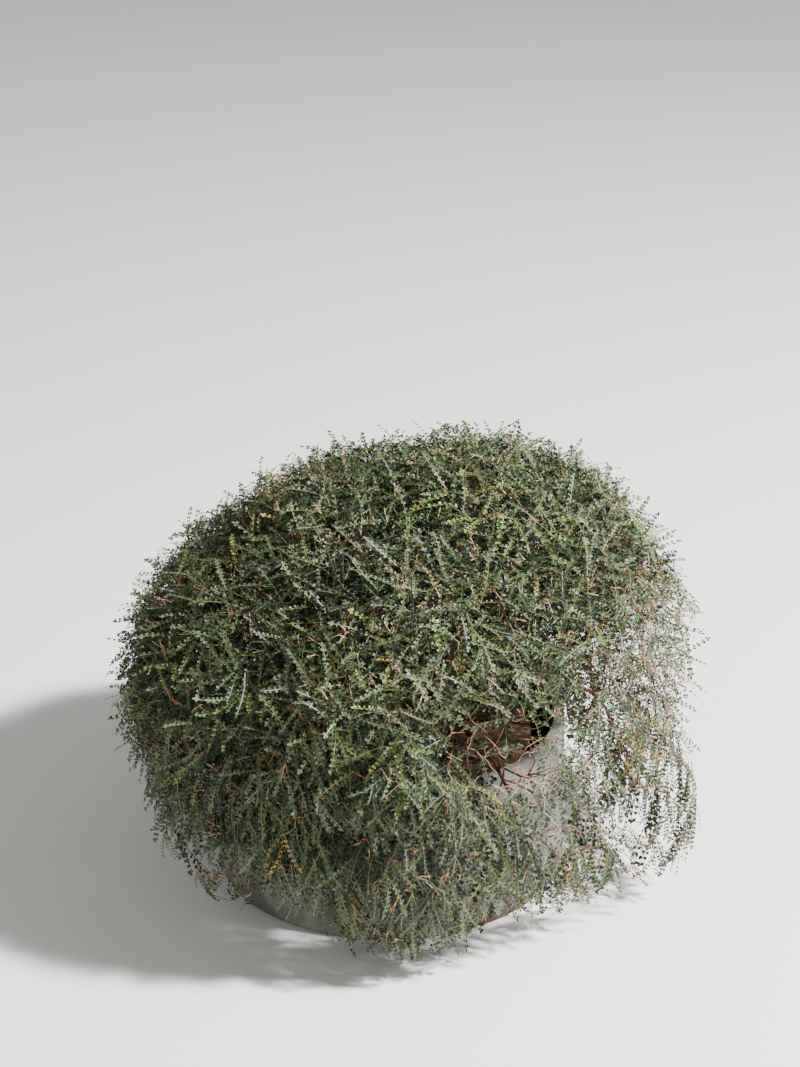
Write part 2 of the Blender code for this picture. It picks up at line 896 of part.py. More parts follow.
def make_mass(mass, masses, limbs, leaf, parent):
    """One mass of foliage; one that doesn't join is grown again from its next seed."""
    space = Space(mass, masses, limbs)
    stem = grow_stem(mass)
    for attempt in range(GROWING_TRIES):
        dice = random.Random(SEED * 1000 + masses.index(mass) * 10 + attempt)
        twigs = grow_twigs(space, stem, dice)
        pieces = [(limb_mesh(twig, TWIG_SIDES, "twig"), Matrix.Identity(4)) for twig in twigs]
        pieces += [(leaf, frame) for frame in place_leaves(space, twigs, dice)]
        if not mass.is_open:
            pieces.append((core_mesh(space), Matrix.Identity(4)))
        mesh = joined(limb_mesh(stem, STEM_SIDES, "stem"), pieces, f"foliage_{mass.name}")
        if mesh:
            painted(mesh, FOLIAGE)
            return add_object(f"foliage_{mass.name}", mesh, parent)
    raise RuntimeError(f"foliage_{mass.name} doesn't join into one closed body")


def main():
    """Builds the pot, the soil, the trunk, the boughs and the masses of foliage."""
    clear_scene()
    parent = bpy.data.objects.new("thorny_burnet", None)
    bpy.context.scene.collection.objects.link(parent)
    make_pot(parent)
    make_soil(parent)
    trunk = make_trunk(parent)
    masses = make_masses()
    limbs = [mass.bough for mass in masses]
    leaf = unit_leaf()
    for mass in masses:
        make_bough(mass, trunk, parent)
    for mass in masses:
        make_mass(mass, masses, limbs, leaf, parent)


main()
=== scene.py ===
"""A thorny burnet in a low round cast pot, with its bark, twigs, spines and leaves.

Lengths are in metres, +Z is up, and the front of the shrub faces -Y. The boughs and masses are
placed as in the solids, and each mass grows on from its bough to fine twigs with pinnate leaves.
"""
import functools
import json
import math
import random
from dataclasses import dataclass

import bmesh
import bpy
import numpy as np
from bpy.props import FloatProperty, FloatVectorProperty, IntProperty, PointerProperty
from mathutils import Matrix, Vector, kdtree, noise

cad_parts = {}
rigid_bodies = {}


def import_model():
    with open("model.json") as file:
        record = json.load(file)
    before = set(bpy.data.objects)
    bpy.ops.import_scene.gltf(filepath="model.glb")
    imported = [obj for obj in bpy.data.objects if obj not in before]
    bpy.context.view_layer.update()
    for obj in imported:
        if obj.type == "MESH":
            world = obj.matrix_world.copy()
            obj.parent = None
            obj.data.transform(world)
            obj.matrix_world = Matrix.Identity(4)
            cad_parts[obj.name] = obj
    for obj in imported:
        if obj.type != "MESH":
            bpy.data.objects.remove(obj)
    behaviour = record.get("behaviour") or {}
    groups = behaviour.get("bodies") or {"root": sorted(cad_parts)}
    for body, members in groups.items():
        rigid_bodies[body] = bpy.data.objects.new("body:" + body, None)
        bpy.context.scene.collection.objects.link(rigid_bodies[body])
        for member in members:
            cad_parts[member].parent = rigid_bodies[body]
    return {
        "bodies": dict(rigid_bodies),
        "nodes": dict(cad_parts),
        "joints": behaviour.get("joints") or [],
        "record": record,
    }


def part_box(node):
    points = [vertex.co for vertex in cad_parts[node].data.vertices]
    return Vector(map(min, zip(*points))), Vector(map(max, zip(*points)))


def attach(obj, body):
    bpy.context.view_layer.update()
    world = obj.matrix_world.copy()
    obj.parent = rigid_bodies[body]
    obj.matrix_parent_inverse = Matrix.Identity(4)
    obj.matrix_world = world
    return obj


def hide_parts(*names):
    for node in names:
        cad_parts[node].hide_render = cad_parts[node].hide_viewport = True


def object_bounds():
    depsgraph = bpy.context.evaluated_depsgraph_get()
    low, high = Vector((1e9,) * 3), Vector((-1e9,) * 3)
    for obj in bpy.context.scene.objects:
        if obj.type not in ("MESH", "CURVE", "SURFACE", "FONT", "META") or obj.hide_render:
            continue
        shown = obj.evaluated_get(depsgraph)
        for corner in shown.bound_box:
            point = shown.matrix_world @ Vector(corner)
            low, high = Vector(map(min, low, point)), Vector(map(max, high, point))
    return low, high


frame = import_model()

bl_info = {
    "name": "Potted Thorny Burnet",
    "version": (1, 0, 0),
    "blender": (4, 5, 0),
    "location": "3D View > Sidebar > Burnet",
    "description": "Builds a dense spiny cushion shrub with small pinnate leaves in a cast pot",
    "category": "Add Mesh",
}

SEED = 41
CAD_LOW, CAD_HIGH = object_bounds()

# Pot and soil, read from their solids
POT_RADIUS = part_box("pot")[1].x
POT_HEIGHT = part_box("pot")[1].z
SOIL_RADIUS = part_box("soil")[1].x
SOIL_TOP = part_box("soil")[1].z
POT_WALL = 0.015
POT_FLOOR = 0.022
POT_FOOT_ROUND = 0.006
POT_LIP_ROUND = 0.005
POT_ROUND_STEPS = 5
POT_WALL_STEPS = 14
POT_SIDES = 180
POT_SWELLS = ((14.0, 0.0007), (55.0, 0.0003))
SOIL_SEAT_RADIUS = 0.066
SOIL_FALL = 0.007
SOIL_RINGS = 44
SOIL_SIDES = 120
LITTER_COUNT = 900
LITTER_LENGTH = (0.0035, 0.0060)
LITTER_LIFT = 0.0004
GAP = 0.0003

# Patterns a metre: 24 mm rags at the stains' edge, 12 mm between air holes, 4 mm crumbs and 17 mm
# dry patches. The air holes of real concrete are finer, and are drawn this coarse so that they show.
STAIN_RAGS = 42.0
AIR_HOLES = 85.0
SOIL_CRUMBS = 260.0
DRY_PATCHES = 60.0

# Bark pattern, round the limb and along it
BARK_FIBRES = (7.0, 26.0, 1.0)
BARK_FIBRE_SCALE = 1.6

# Trunk and boughs, as in their solids
TRUNK_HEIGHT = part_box("trunk")[1].z - SOIL_TOP - GAP
TRUNK_FOOT_RADIUS = 0.040
TRUNK_WAIST_RADIUS = 0.024
TRUNK_LEAN = 0.006
FLARE_ROOTS = 5
FLARE_DEPTH = 0.22
FLARE_PHASE = 0.7
TRUNK_ROUND_FROM = 0.72
TRUNK_ROUNDING = 0.88
BOUGH_LEVELS = 4
BOUGH_TIP_RADIUS = 0.0030
BOUGH_WANDER = 0.006
BOUGH_SUNK = 0.012
BOUGH_BEND_AT = 0.45
TOP_BOUGH_SPREAD = 0.006
BOUGH_OVER_LIP = 0.032
STEM_STEPS = 3
BARK_STRETCH = 38.0
TRUNK_LEVELS = 40
TRUNK_SIDES = 64
TRUNK_RIDGES = 2.6
BOUGH_STEPS = 12
BOUGH_SIDES = 18
BOUGH_RIDGES = 1.5
SMOOTH_ANGLE = 50.0

# Crown, as in its solids
HUB = np.array((0.015, 0.000, 0.240))
CROWN_X = 0.024
WINDOW_CENTRE = np.array((0.118, -0.235, 0.268))
WINDOW_REACH = np.array((0.050, 0.095, 0.036))
MOUTH_CENTRE = np.array((0.114, -0.235, 0.278))
MOUTH_WAY = np.array((0.02, -0.93, 0.37))
MOUTH_REACH = np.array((0.060, 0.060, 0.040))
OPEN_SIDE_TURN = -15.0
OPEN_SIDE_SPREAD = 30.0
OPEN_BOUGH_REACH = 0.80
SIDES_OF_CROWN = 6
SHOULDER_TURN = 30.0
SKIRT_TURN = 0.0
GROUND_CLEAR = 0.010
BOX_SPARE = 0.012

# The crown's lower hem: turns about the middle, the height where the leaves thin out, and the
# share of them that trails on below it
HEM = np.array(
    (
        (-180.0, 0.165, 0.04),
        (-155.0, 0.130, 0.06),
        (-125.0, 0.100, 0.12),
        (-110.0, 0.090, 0.20),
        (-101.0, 0.010, 0.60),
        (-83.0, 0.010, 0.60),
        (-74.0, 0.110, 0.32),
        (-62.0, 0.140, 0.34),
        (-35.0, 0.135, 0.30),
        (-20.0, 0.050, 0.50),
        (5.0, 0.050, 0.35),
        (30.0, 0.085, 0.15),
        (90.0, 0.095, 0.10),
        (150.0, 0.125, 0.08),
        (180.0, 0.165, 0.04),
    )
)
HEM_FADE = 0.030
HEM_HANG = 0.050

# The thin side of the crown, where the boughs and the sky show through
THIN_TURN = -17.0
THIN_SPREAD = 58.0
THIN_HEIGHT = 0.262
THIN_RISE = 0.155
THIN_SPACING = 0.75
THIN_LEAVES_LOST = 0.22
THIN_EDGE = 0.45
WINDOW_ROUGHNESS = 0.50
WINDOW_LEAVES = 0.12


@dataclass(frozen=True)
class Ring:
    """A ring of like masses round the crown, each at the end of its own bough."""

    name: str
    count: int
    first_turn: float
    radius: float
    height: float
    bough_from: float
    bough_radius: float
    bough_reach: float
    bough_lift: float
    bough_over_lip: bool
    can_be_open: bool


RINGS = (
    Ring(
        name="top",
        count=3,
        first_turn=60.0,
        radius=0.125,
        height=0.435,
        bough_from=0.90,
        bough_radius=0.0075,
        bough_reach=0.62,
        bough_lift=0.020,
        bough_over_lip=False,
        can_be_open=False,
    ),
    Ring(
        name="shoulder",
        count=SIDES_OF_CROWN,
        first_turn=SHOULDER_TURN,
        radius=0.235,
        height=0.325,
        bough_from=0.66,
        bough_radius=0.0070,
        bough_reach=0.56,
        bough_lift=0.022,
        bough_over_lip=False,
        can_be_open=True,
    ),
    Ring(
        name="skirt",
        count=SIDES_OF_CROWN,
        first_turn=SKIRT_TURN,
        radius=0.268,
        height=0.165,
        bough_from=0.36,
        bough_radius=0.0062,
        bough_reach=0.74,
        bough_lift=0.060,
        bough_over_lip=True,
        can_be_open=True,
    ),
)


def lobe_ring(first_turn, spread, height, tilt, reach):
    """Like lobes round the crown, set higher towards its right side by the tilt."""
    lobes = []
    for side in range(SIDES_OF_CROWN):
        turn = math.radians(first_turn + 360.0 * side / SIDES_OF_CROWN)
        x, y = math.cos(turn), math.sin(turn)
        lobes.append(((CROWN_X + spread * x, spread * y, height + tilt * x), reach))
    return lobes


LOBES = (
    ((0.110, 0.020, 0.330), (0.240, 0.250, 0.215)),
    ((0.000, 0.000, 0.310), (0.250, 0.270, 0.230)),
    *lobe_ring(SHOULDER_TURN, 0.115, 0.290, 0.022, (0.250, 0.250, 0.200)),
    *lobe_ring(SKIRT_TURN, 0.105, 0.165, 0.000, (0.245, 0.245, 0.155)),
    *lobe_ring(SHOULDER_TURN, 0.200, 0.145, 0.000, (0.150, 0.150, 0.150)),
)
TRAILING_LOBE = ((0.310, -0.105, 0.125), (0.070, 0.090, 0.105))
LOBE_CENTRES = np.array([centre for centre, reach in (*LOBES, TRAILING_LOBE)])
LOBE_REACHES = np.array([reach for centre, reach in (*LOBES, TRAILING_LOBE)])

# Twigs
TIP_RADIUS = 0.00055
TWIG_SWELL = 0.285
TWIG_STEPS = 3
TWIG_LEAN = 0.35
TWIG_SHORTEST = 0.010
TWIG_TURN_COST = 0.7
TWIG_ZIGZAG = 0.10
TWIG_CLEAR = 0.0015
TWIG_JOINTS_TRIED = 3
DARTS = 150000
LEAFY_SHELL = (0.70, 0.955)
INNER_SHELL = (0.30, 0.66)
INNER_SPACING = 0.026
CROWN_BUMP = 0.060
CROWN_BUMP_SIZE = 0.070
STEM_SIDES = 8
TWIG_SIDES = 3
TWIG_FOOT_SWELL = 1.15
YOUNG_TWIG_SHARE = 0.72
YOUNG_TWIG_RADIUS = 0.0011

# The way a leaf points: it rises near the crown's top and hangs more the lower it is
LEAF_AHEAD = 0.35
HANG_BELOW = 0.40
HANG_FALL = 0.26
HANG_PULL = 1.15
HANG_OUT_LOST = 0.50
RISE_FALL = 0.12
RISE_PULL = 0.15
LEAF_TRIES = 6
LEAF_TIP_SHARES = (1.02, 1.11)
LEAF_OVER_BORDER = 0.012
LEAF_POT_CLEAR = 0.002
LEAF_ROOTS_ALONG = 0.55
LEAF_LENGTHS = (0.78, 1.18)
LEAF_FACE_OUT = 0.7
LEAF_FACE_UP = 0.8
LEAF_FACE_STRAY = 0.45
INNER_LEAF_SHELL = (0.45, 0.88)
INNER_LEAF_THINNEST = 0.35
INNER_LEAF_SPREAD = 1.4
INNER_LEAF_LENGTHS = (0.9, 1.25)
INNER_LEAF_TIP_SHARE = 0.97

# A leaf one unit long: its bare foot and tip, its leaflets and how they are turned
LEAF_BARE_FOOT = 0.10
LEAF_BARE_TIP = 0.05
LEAFLET_LENGTH = 0.068
PLAIN_LEAFLET_LENGTH = 0.105
LEAFLET_TURN = 58.0
LEAFLET_TILT = 14.0
LEAFLET_FOLD = 0.35
RACHIS_WIDTH = 0.020
RACHIS_LENGTH = 0.96

# Spines
SPINE_SHELL = (0.80, 0.97)
SPINE_STRAY = 0.75
SPINE_LENGTHS = (0.6, 1.15)
SPINE_TIP_SHARE = 1.03
SPINE_TINT_SHARES = (0.55, 0.28, 0.17)
SPINE_KINDS = 4
SPINE_RADIUS = 0.042
SPINE_POINT_RADIUS = 0.004
SPINE_STEP = 0.34
SPINE_JOINTS = 3

# Lamps and floor
FLOOR_HALF = 20.0
KEY_SIZE = 0.38
KEY_PLACE = (3.3, -1.1, 3.7)
FILL_SIZE = 2.6
FILL_PLACE = (-1.6, -3.0, 3.2)
LAMP_AIM = (0.0, 0.0, 0.30)
SKY_STRENGTH = 0.45


def linear(code):
    """A linear colour from its sRGB hex code."""
    values = [int(code[at:at + 2], 16) / 255.0 for at in (1, 3, 5)]
    return tuple(v / 12.92 if v <= 0.04045 else ((v + 0.055) / 1.055) ** 2.4 for v in values)


def colour(name, code, description):
    """A colour that a user can change, from its sRGB hex code."""
    return FloatVectorProperty(
        name=name,
        description=description,
        subtype="COLOR",
        size=3,
        min=0.0,
        max=1.0,
        default=linear(code),
    )


class BurnetPotSettings(bpy.types.PropertyGroup):
    """Sizes and colours of the pot and its soil."""

    grit_mm: FloatProperty(
        name="Grit", description="Size of the sand grains in the concrete, in mm", default=1.6, min=0.2
    )
    mottle_mm: FloatProperty(
        name="Mottle", description="Size of the cloudy patches, in mm", default=45.0, min=5.0
    )
    stain_height: FloatProperty(
        name="Stain height",
        description="How far up the foot the soil stains reach",
        default=0.024,
        unit="LENGTH",
    )
    crumb_height: FloatProperty(
        name="Crumb height",
        description="How high the soil's crumbs stand",
        default=0.0032,
        unit="LENGTH",
    )
    concrete: colour("Concrete", "#8C8C84", "The pot's dry concrete")
    damp_concrete: colour("Damp concrete", "#6C6C66", "The pot's darker patches")
    stain: colour("Soil stain", "#55402F", "Soil washed down on to the pot's foot")
    soil: colour("Soil", "#3A2A1E", "The potting soil")
    dry_soil: colour("Dry soil", "#5C4635", "The soil's drier crumbs")
    litter: colour("Litter", "#6B5038", "Fallen leaflets on the soil")


class BurnetWoodSettings(bpy.types.PropertyGroup):
    """Sizes and colours of the trunk, the boughs, the twigs and the spines."""

    bark_relief: FloatProperty(
        name="Bark relief",
        description="How far the trunk's bark stands out in ridges",
        default=0.0016,
        unit="LENGTH",
    )
    bough_relief: FloatProperty(
        name="Bough relief",
        description="How far the boughs' bark stands out in ridges",
        default=0.0006,
        unit="LENGTH",
    )
    tip_spacing: FloatProperty(
        name="Tip spacing",
        description="Distance between the tips of the leafy twigs",
        default=0.0165,
        unit="LENGTH",
    )
    spines: IntProperty(name="Spines", description="Number of forked spines", default=2000, min=0)
    spine_length: FloatProperty(
        name="Spine length", description="Length of a forked spine", default=0.026, unit="LENGTH"
    )
    bark: colour("Bark", "#6B4433", "Reddish-brown bark")
    bark_ridge: colour("Bark ridges", "#8F6A50", "The bark's worn ridges")
    bark_furrow: colour("Bark furrows", "#3A221A", "The bark's furrows")
    old_twig: colour("Old twig", "#5F3D31", "Twigs inside the crown")
    young_twig: colour("Young twig", "#8E6A52", "Twigs near the crown's outline")
    tan_spine: colour("Tan spine", "#D8B48C", "Most of the spines")
    orange_spine: colour("Orange spine", "#BC7B52", "Some of the spines")
    pink_spine: colour("Pink spine", "#BC9486", "A few of the spines")


class BurnetLeafSettings(bpy.types.PropertyGroup):
    """Sizes and colours of the leaves."""

    length: FloatProperty(
        name="Leaf length", description="Length of a leaf", default=0.047, unit="LENGTH"
    )
    per_spray: IntProperty(
        name="Leaves in a spray", description="Leaves at the end of a twig", default=3, min=1
    )
    spread: FloatProperty(
        name="Spread", description="How far a spray's leaves stand apart, 0 to 2", default=1.15
    )
    inner_spacing: FloatProperty(
        name="Inner spacing",
        description="Distance between the old leaves inside the crown",
        default=0.0155,
        unit="LENGTH",
    )
    # Painted shade and light in the tints: the dark tint goes low down and inside the crown, and the
    # blue one to the left, as painted shade; the grey one goes higher up as a painted highlight
    dark: colour("Dark leaf", "#1C261C", "Old leaves in the shade")
    blue: colour("Blue-green leaf", "#2C3A2C", "Leaves with a bloom")
    mid: colour("Green leaf", "#334127", "Most leaves")
    grey: colour("Grey-green leaf", "#4F5C42", "Leaves with a paler bloom")
    olive: colour("Olive leaf", "#4B522B", "Leaves of last year")
    young: colour("Young leaf", "#6F8A3C", "New leaves")
    yellow: colour("Yellowing leaf", "#A07C3E", "Leaves about to fall")
    rachis: colour("Leaf stalk", "#66703F", "The stalk along the middle of a leaf")


class BurnetStageSettings(bpy.types.PropertyGroup):
    """The camera, the floor and the lamps."""

    eye_height: FloatProperty(
        name="Eye height", description="The camera's height", default=1.5385, unit="LENGTH"
    )
    eye_distance: FloatProperty(
        name="Eye distance", description="The camera's distance", default=2.665, unit="LENGTH"
    )
    eye_side: FloatProperty(
        name="Eye side", description="The camera's place to the right", default=0.017, unit="LENGTH"
    )
    look_down: FloatProperty(
        name="Look down",
        description="How far the camera looks down",
        default=math.radians(22.43),
        subtype="ANGLE",
    )
    roll: FloatProperty(
        name="Roll", description="The camera's roll", default=math.radians(-0.8), subtype="ANGLE"
    )
    lens_mm: FloatProperty(name="Lens", description="Focal length in mm", default=80.0, min=1.0)
    key_watts: FloatProperty(name="Key lamp", description="Watts of the key lamp", default=920.0)
    fill_watts: FloatProperty(name="Fill lamp", description="Watts of the fill lamp", default=22.0)
    floor: colour("Floor", "#F7F6F3", "The plain pale floor")
    sky: colour("Surround", "#EEEDEA", "The soft light from all round")


def add_node(tree, kind, settings, inputs):
    """Adds a node with its settings, and with a value or a link for each named input."""
    node = tree.nodes.new(kind)
    for name, value in settings.items():
        setattr(node, name, value)
    for name, value in inputs.items():
        if isinstance(value, bpy.types.NodeSocket):
            tree.links.new(value, node.inputs[name])
        else:
            node.inputs[name].default_value = value
    return node


def new_material(name, base, roughness, specular=0.5):
    """A material of one plain finish, and its shader, which patterns can then be linked to."""
    material = bpy.data.materials.new(name)
    material.use_nodes = True
    shader = material.node_tree.nodes["Principled BSDF"]
    shader.inputs["Base Color"].default_value = (*base, 1.0)
    shader.inputs["Roughness"].default_value = roughness
    shader.inputs["Specular IOR Level"].default_value = specular
    material.diffuse_color = (*base, 1.0)
    return material, shader


def cast_concrete(settings):
    """Cast concrete: cloudy greys, a sandy face with small air holes, and soil stains at the foot."""
    material, shader = new_material("cast_concrete", settings.concrete, 0.82, 0.35)
    tree = material.node_tree
    place = add_node(tree, "ShaderNodeTexCoord", {}, {}).outputs["Object"]
    clouds = add_node(
        tree,
        "ShaderNodeTexNoise",
        {},
        {"Vector": place, "Scale": 1000.0 / settings.mottle_mm, "Detail": 6.0, "Roughness": 0.62},
    )
    cloudy = add_node(
        tree,
        "ShaderNodeMapRange",
        {"interpolation_type": "SMOOTHSTEP"},
        {"Value": clouds.outputs["Fac"], "From Min": 0.40, "From Max": 0.64},
    )
    grit = add_node(
        tree,
        "ShaderNodeTexNoise",
        {},
        {"Vector": place, "Scale": 1000.0 / settings.grit_mm, "Detail": 2.0},
    )
    mottled = add_node(
        tree,
        "ShaderNodeMix",
        {"data_type": "RGBA"},
        {0: cloudy.outputs[0], 6: (*settings.damp_concrete, 1.0), 7: (*settings.concrete, 1.0)},
    )
    sandy = add_node(
        tree,
        "ShaderNodeMapRange",
        {},
        {"Value": grit.outputs["Fac"], "From Min": 0.3, "From Max": 0.7, "To Min": 0.82, "To Max": 1.10},
    )
    speckled = add_node(
        tree,
        "ShaderNodeMix",
        {"data_type": "RGBA", "blend_type": "MULTIPLY"},
        {0: 1.0, 6: mottled.outputs[2], 7: sandy.outputs[0]},
    )
    axes = add_node(tree, "ShaderNodeSeparateXYZ", {}, {"Vector": place})
    ragged = add_node(
        tree,
        "ShaderNodeTexNoise",
        {},
        {"Vector": place, "Scale": STAIN_RAGS, "Detail": 5.0, "Roughness": 0.7},
    )
    edge = add_node(
        tree,
        "ShaderNodeMath",
        {"operation": "MULTIPLY_ADD"},
        {0: ragged.outputs["Fac"], 1: -2.4 * settings.stain_height, 2: axes.outputs["Z"]},
    )
    stained = add_node(
        tree,
        "ShaderNodeMapRange",
        {"interpolation_type": "SMOOTHSTEP"},
        {
            "Value": edge.outputs[0],
            "From Min": -1.05 * settings.stain_height,
            "From Max": -0.45 * settings.stain_height,
            "To Min": 0.85,
            "To Max": 0.0,
        },
    )
    one_side = add_node(
        tree,
        "ShaderNodeMapRange",
        {"interpolation_type": "SMOOTHSTEP"},
        {"Value": axes.outputs["X"], "From Min": -0.02, "From Max": 0.10, "To Min": 0.12},
    )
    kept = add_node(
        tree,
        "ShaderNodeMath",
        {"operation": "MULTIPLY"},
        {0: stained.outputs[0], 1: one_side.outputs[0]},
    )
    coloured = add_node(
        tree,
        "ShaderNodeMix",
        {"data_type": "RGBA"},
        {0: kept.outputs[0], 6: speckled.outputs[2], 7: (*settings.stain, 1.0)},
    )
    holes = add_node(
        tree,
        "ShaderNodeTexVoronoi",
        {},
        {"Vector": place, "Scale": AIR_HOLES, "Randomness": 1.0},
    )
    hollow = add_node(
        tree,
        "ShaderNodeMapRange",
        {"interpolation_type": "SMOOTHSTEP"},
        {"Value": holes.outputs["Distance"], "From Min": 0.06, "From Max": 0.14},
    )
    face = add_node(
        tree,
        "ShaderNodeMath",
        {"operation": "MULTIPLY_ADD"},
        {0: grit.outputs["Fac"], 1: 0.35, 2: hollow.outputs[0]},
    )
    bump = add_node(
        tree,
        "ShaderNodeBump",
        {},
        {"Height": face.outputs[0], "Strength": 0.35, "Distance": 0.0012},
    )
    tree.links.new(coloured.outputs[2], shader.inputs["Base Color"])
    tree.links.new(bump.outputs["Normal"], shader.inputs["Normal"])
    return material


def potting_soil(settings):
    """Potting soil: dark crumbs of peat and bark, some of them dried paler."""
    material, shader = new_material("potting_soil", settings.soil, 0.95, 0.2)
    tree = material.node_tree
    place = add_node(tree, "ShaderNodeTexCoord", {}, {}).outputs["Object"]
    crumbs = add_node(
        tree,
        "ShaderNodeTexVoronoi",
        {},
        {"Vector": place, "Scale": SOIL_CRUMBS, "Randomness": 1.0},
    )
    patches = add_node(
        tree, "ShaderNodeTexNoise", {}, {"Vector": place, "Scale": DRY_PATCHES, "Detail": 6.0}
    )
    dryness = add_node(
        tree,
        "ShaderNodeMapRange",
        {},
        {"Value": patches.outputs["Fac"], "From Min": 0.45, "From Max": 0.70},
    )
    mixed = add_node(
        tree,
        "ShaderNodeMix",
        {"data_type": "RGBA"},
        {0: dryness.outputs[0], 6: (*settings.soil, 1.0), 7: (*settings.dry_soil, 1.0)},
    )
    bump = add_node(
        tree,
        "ShaderNodeBump",
        {},
        {"Height": crumbs.outputs["Distance"], "Strength": 0.8, "Distance": 0.002},
    )
    tree.links.new(mixed.outputs[2], shader.inputs["Base Color"])
    tree.links.new(bump.outputs["Normal"], shader.inputs["Normal"])
    return material


def burnet_bark(settings):
    """Burnet bark: thin, reddish brown, with pale worn ridges and dark furrows along the limb."""
    material, shader = new_material("burnet_bark", settings.bark, 0.86, 0.25)
    tree = material.node_tree
    along = add_node(tree, "ShaderNodeUVMap", {"uv_map": "UVMap"}, {}).outputs["UV"]
    stretched = add_node(
        tree, "ShaderNodeMapping", {}, {"Vector": along, "Scale": BARK_FIBRES}
    )
    fibres = add_node(
        tree,
        "ShaderNodeTexNoise",
        {},
        {"Vector": stretched.outputs[0], "Scale": BARK_FIBRE_SCALE, "Detail": 6.0, "Roughness": 0.65},
    )
    furrow = add_node(
        tree,
        "ShaderNodeMapRange",
        {},
        {"Value": fibres.outputs["Fac"], "From Min": 0.32, "From Max": 0.50},
    )
    ridge = add_node(
        tree,
        "ShaderNodeMapRange",
        {},
        {"Value": fibres.outputs["Fac"], "From Min": 0.52, "From Max": 0.70},
    )
    deep = add_node(
        tree,
        "ShaderNodeMix",
        {"data_type": "RGBA"},
        {0: furrow.outputs[0], 6: (*settings.bark_furrow, 1.0), 7: (*settings.bark, 1.0)},
    )
    worn = add_node(
        tree,
        "ShaderNodeMix",
        {"data_type": "RGBA"},
        {0: ridge.outputs[0], 6: deep.outputs[2], 7: (*settings.bark_ridge, 1.0)},
    )
    bump = add_node(
        tree,
        "ShaderNodeBump",
        {},
        {"Height": fibres.outputs["Fac"], "Strength": 0.9, "Distance": 0.0015},
    )
    tree.links.new(worn.outputs[2], shader.inputs["Base Color"])
    tree.links.new(bump.outputs["Normal"], shader.inputs["Normal"])
    return material


def finish_piece(name, mesh, materials, nodes):
    """Makes a mesh one piece of the shrub: its finish, its body and the solids it stands for."""
    for material in materials:
        mesh.materials.append(material)
    piece = bpy.data.objects.new(name, mesh)
    bpy.context.scene.collection.objects.link(piece)
    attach(piece, "root")
    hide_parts(*nodes)
    return piece


def mesh_from_bmesh(bm, name, smooth_angle=None):
    """Turns a bmesh into a mesh whose faces point outwards."""
    bmesh.ops.recalc_face_normals(bm, faces=bm.faces)
    mesh = bpy.data.meshes.new(name)
    bm.to_mesh(mesh)
    bm.free()
    if smooth_angle is not None:
        mesh.shade_smooth()
        mesh.set_sharp_from_angle(angle=math.radians(smooth_angle))
    return mesh


def mesh_from_arrays(name, points, triangles, slots):
    """Turns arrays of points, triangles and their material slots into a mesh."""
    mesh = bpy.data.meshes.new(name)
    mesh.vertices.add(len(points))
    mesh.vertices.foreach_set("co", points.astype(np.float32).ravel())
    mesh.loops.add(triangles.size)
    mesh.loops.foreach_set("vertex_index", triangles.astype(np.int32).ravel())
    mesh.polygons.add(len(triangles))
    mesh.polygons.foreach_set("loop_start", np.arange(0, triangles.size, 3, dtype=np.int32))
    mesh.polygons.foreach_set("material_index", slots.astype(np.int32))
    mesh.update(calc_edges=True)
    return mesh


def arc(centre_radius, centre_height, size, start, end, steps):
    """Points of a quarter round on a turned profile, as (radius, height) pairs."""
    points = []
    for step in range(steps + 1):
        turn = math.radians(start + (end - start) * step / steps)
        points.append((centre_radius + size * math.cos(turn), centre_height + size * math.sin(turn)))
    return points


def turned(profile, sides):
    """Turns a profile that starts and ends on the axis into one closed round body."""
    bm = bmesh.new()
    corners = [bm.verts.new((radius, 0.0, height)) for radius, height in profile]
    edges = [bm.edges.new(pair) for pair in zip(corners, corners[1:])]
    bmesh.ops.spin(
        bm,
        geom=corners + edges,
        cent=(0.0, 0.0, 0.0),
        axis=(0.0, 0.0, 1.0),
        angle=math.tau,
        steps=sides,
        use_merge=True,
    )
    bmesh.ops.remove_doubles(bm, verts=bm.verts, dist=1e-6)
    return bm


def unit(rows):
    """Rows of vectors, each made one long."""
    return rows / np.maximum(np.linalg.norm(rows, axis=-1, keepdims=True), 1e-9)


def crown_share(points):
    """How far out points are: 0 at a lobe's middle, 1 on the crown's outline."""
    best = np.full(len(points), np.inf)
    for centre, reach in zip(LOBE_CENTRES, LOBE_REACHES):
        best = np.minimum(best, np.linalg.norm((points - centre) / reach, axis=1))
    return best


def outward(points):
    """The way out of the crown from points, square to its outline."""
    step = 0.004
    slope = np.empty_like(points)
    for axis in range(3):
        shift = np.zeros(3)
        shift[axis] = step
        slope[:, axis] = crown_share(points + shift) - crown_share(points - shift)
    return unit(slope)


def hits_pot(points, clear):
    """Whether points are in the pot or over its soil, or too near them."""
    off = np.hypot(points[:, 0], points[:, 1])
    return (points[:, 2] < POT_HEIGHT + clear) & (off < POT_RADIUS + clear)


def in_window(points):
    """Whether points are in the gap at the crown's front, which stays open all the way out."""
    off = points - MOUTH_CENTRE
    ahead = np.maximum(off @ MOUTH_WAY, 0.0)[:, None]
    ragged = 1.0 + WINDOW_ROUGHNESS * bumps(points * 3.0)
    is_mouth = np.linalg.norm((off - ahead * MOUTH_WAY) / MOUTH_REACH, axis=1) < ragged
    return is_mouth | (np.linalg.norm((points - WINDOW_CENTRE) / WINDOW_REACH, axis=1) < 1.0)


def thinness(points):
    """How thin the crown is at points: 0 where it is dense, up to 1 in the middle of the thin side."""
    turn = np.degrees(np.arctan2(points[:, 1] - HUB[1], points[:, 0] - HUB[0]))
    round_it = np.clip(1.0 - np.abs(turn - THIN_TURN) / THIN_SPREAD, 0.0, 1.0)
    up = np.clip(1.0 - np.abs(points[:, 2] - THIN_HEIGHT) / THIN_RISE, 0.0, 1.0)
    inside = 1.0 - THIN_EDGE * np.clip((crown_share(points) - 0.80) / 0.12, 0.0, 1.0)
    return np.clip(2.0 * round_it, 0.0, 1.0) * np.clip(2.0 * up, 0.0, 1.0) * inside


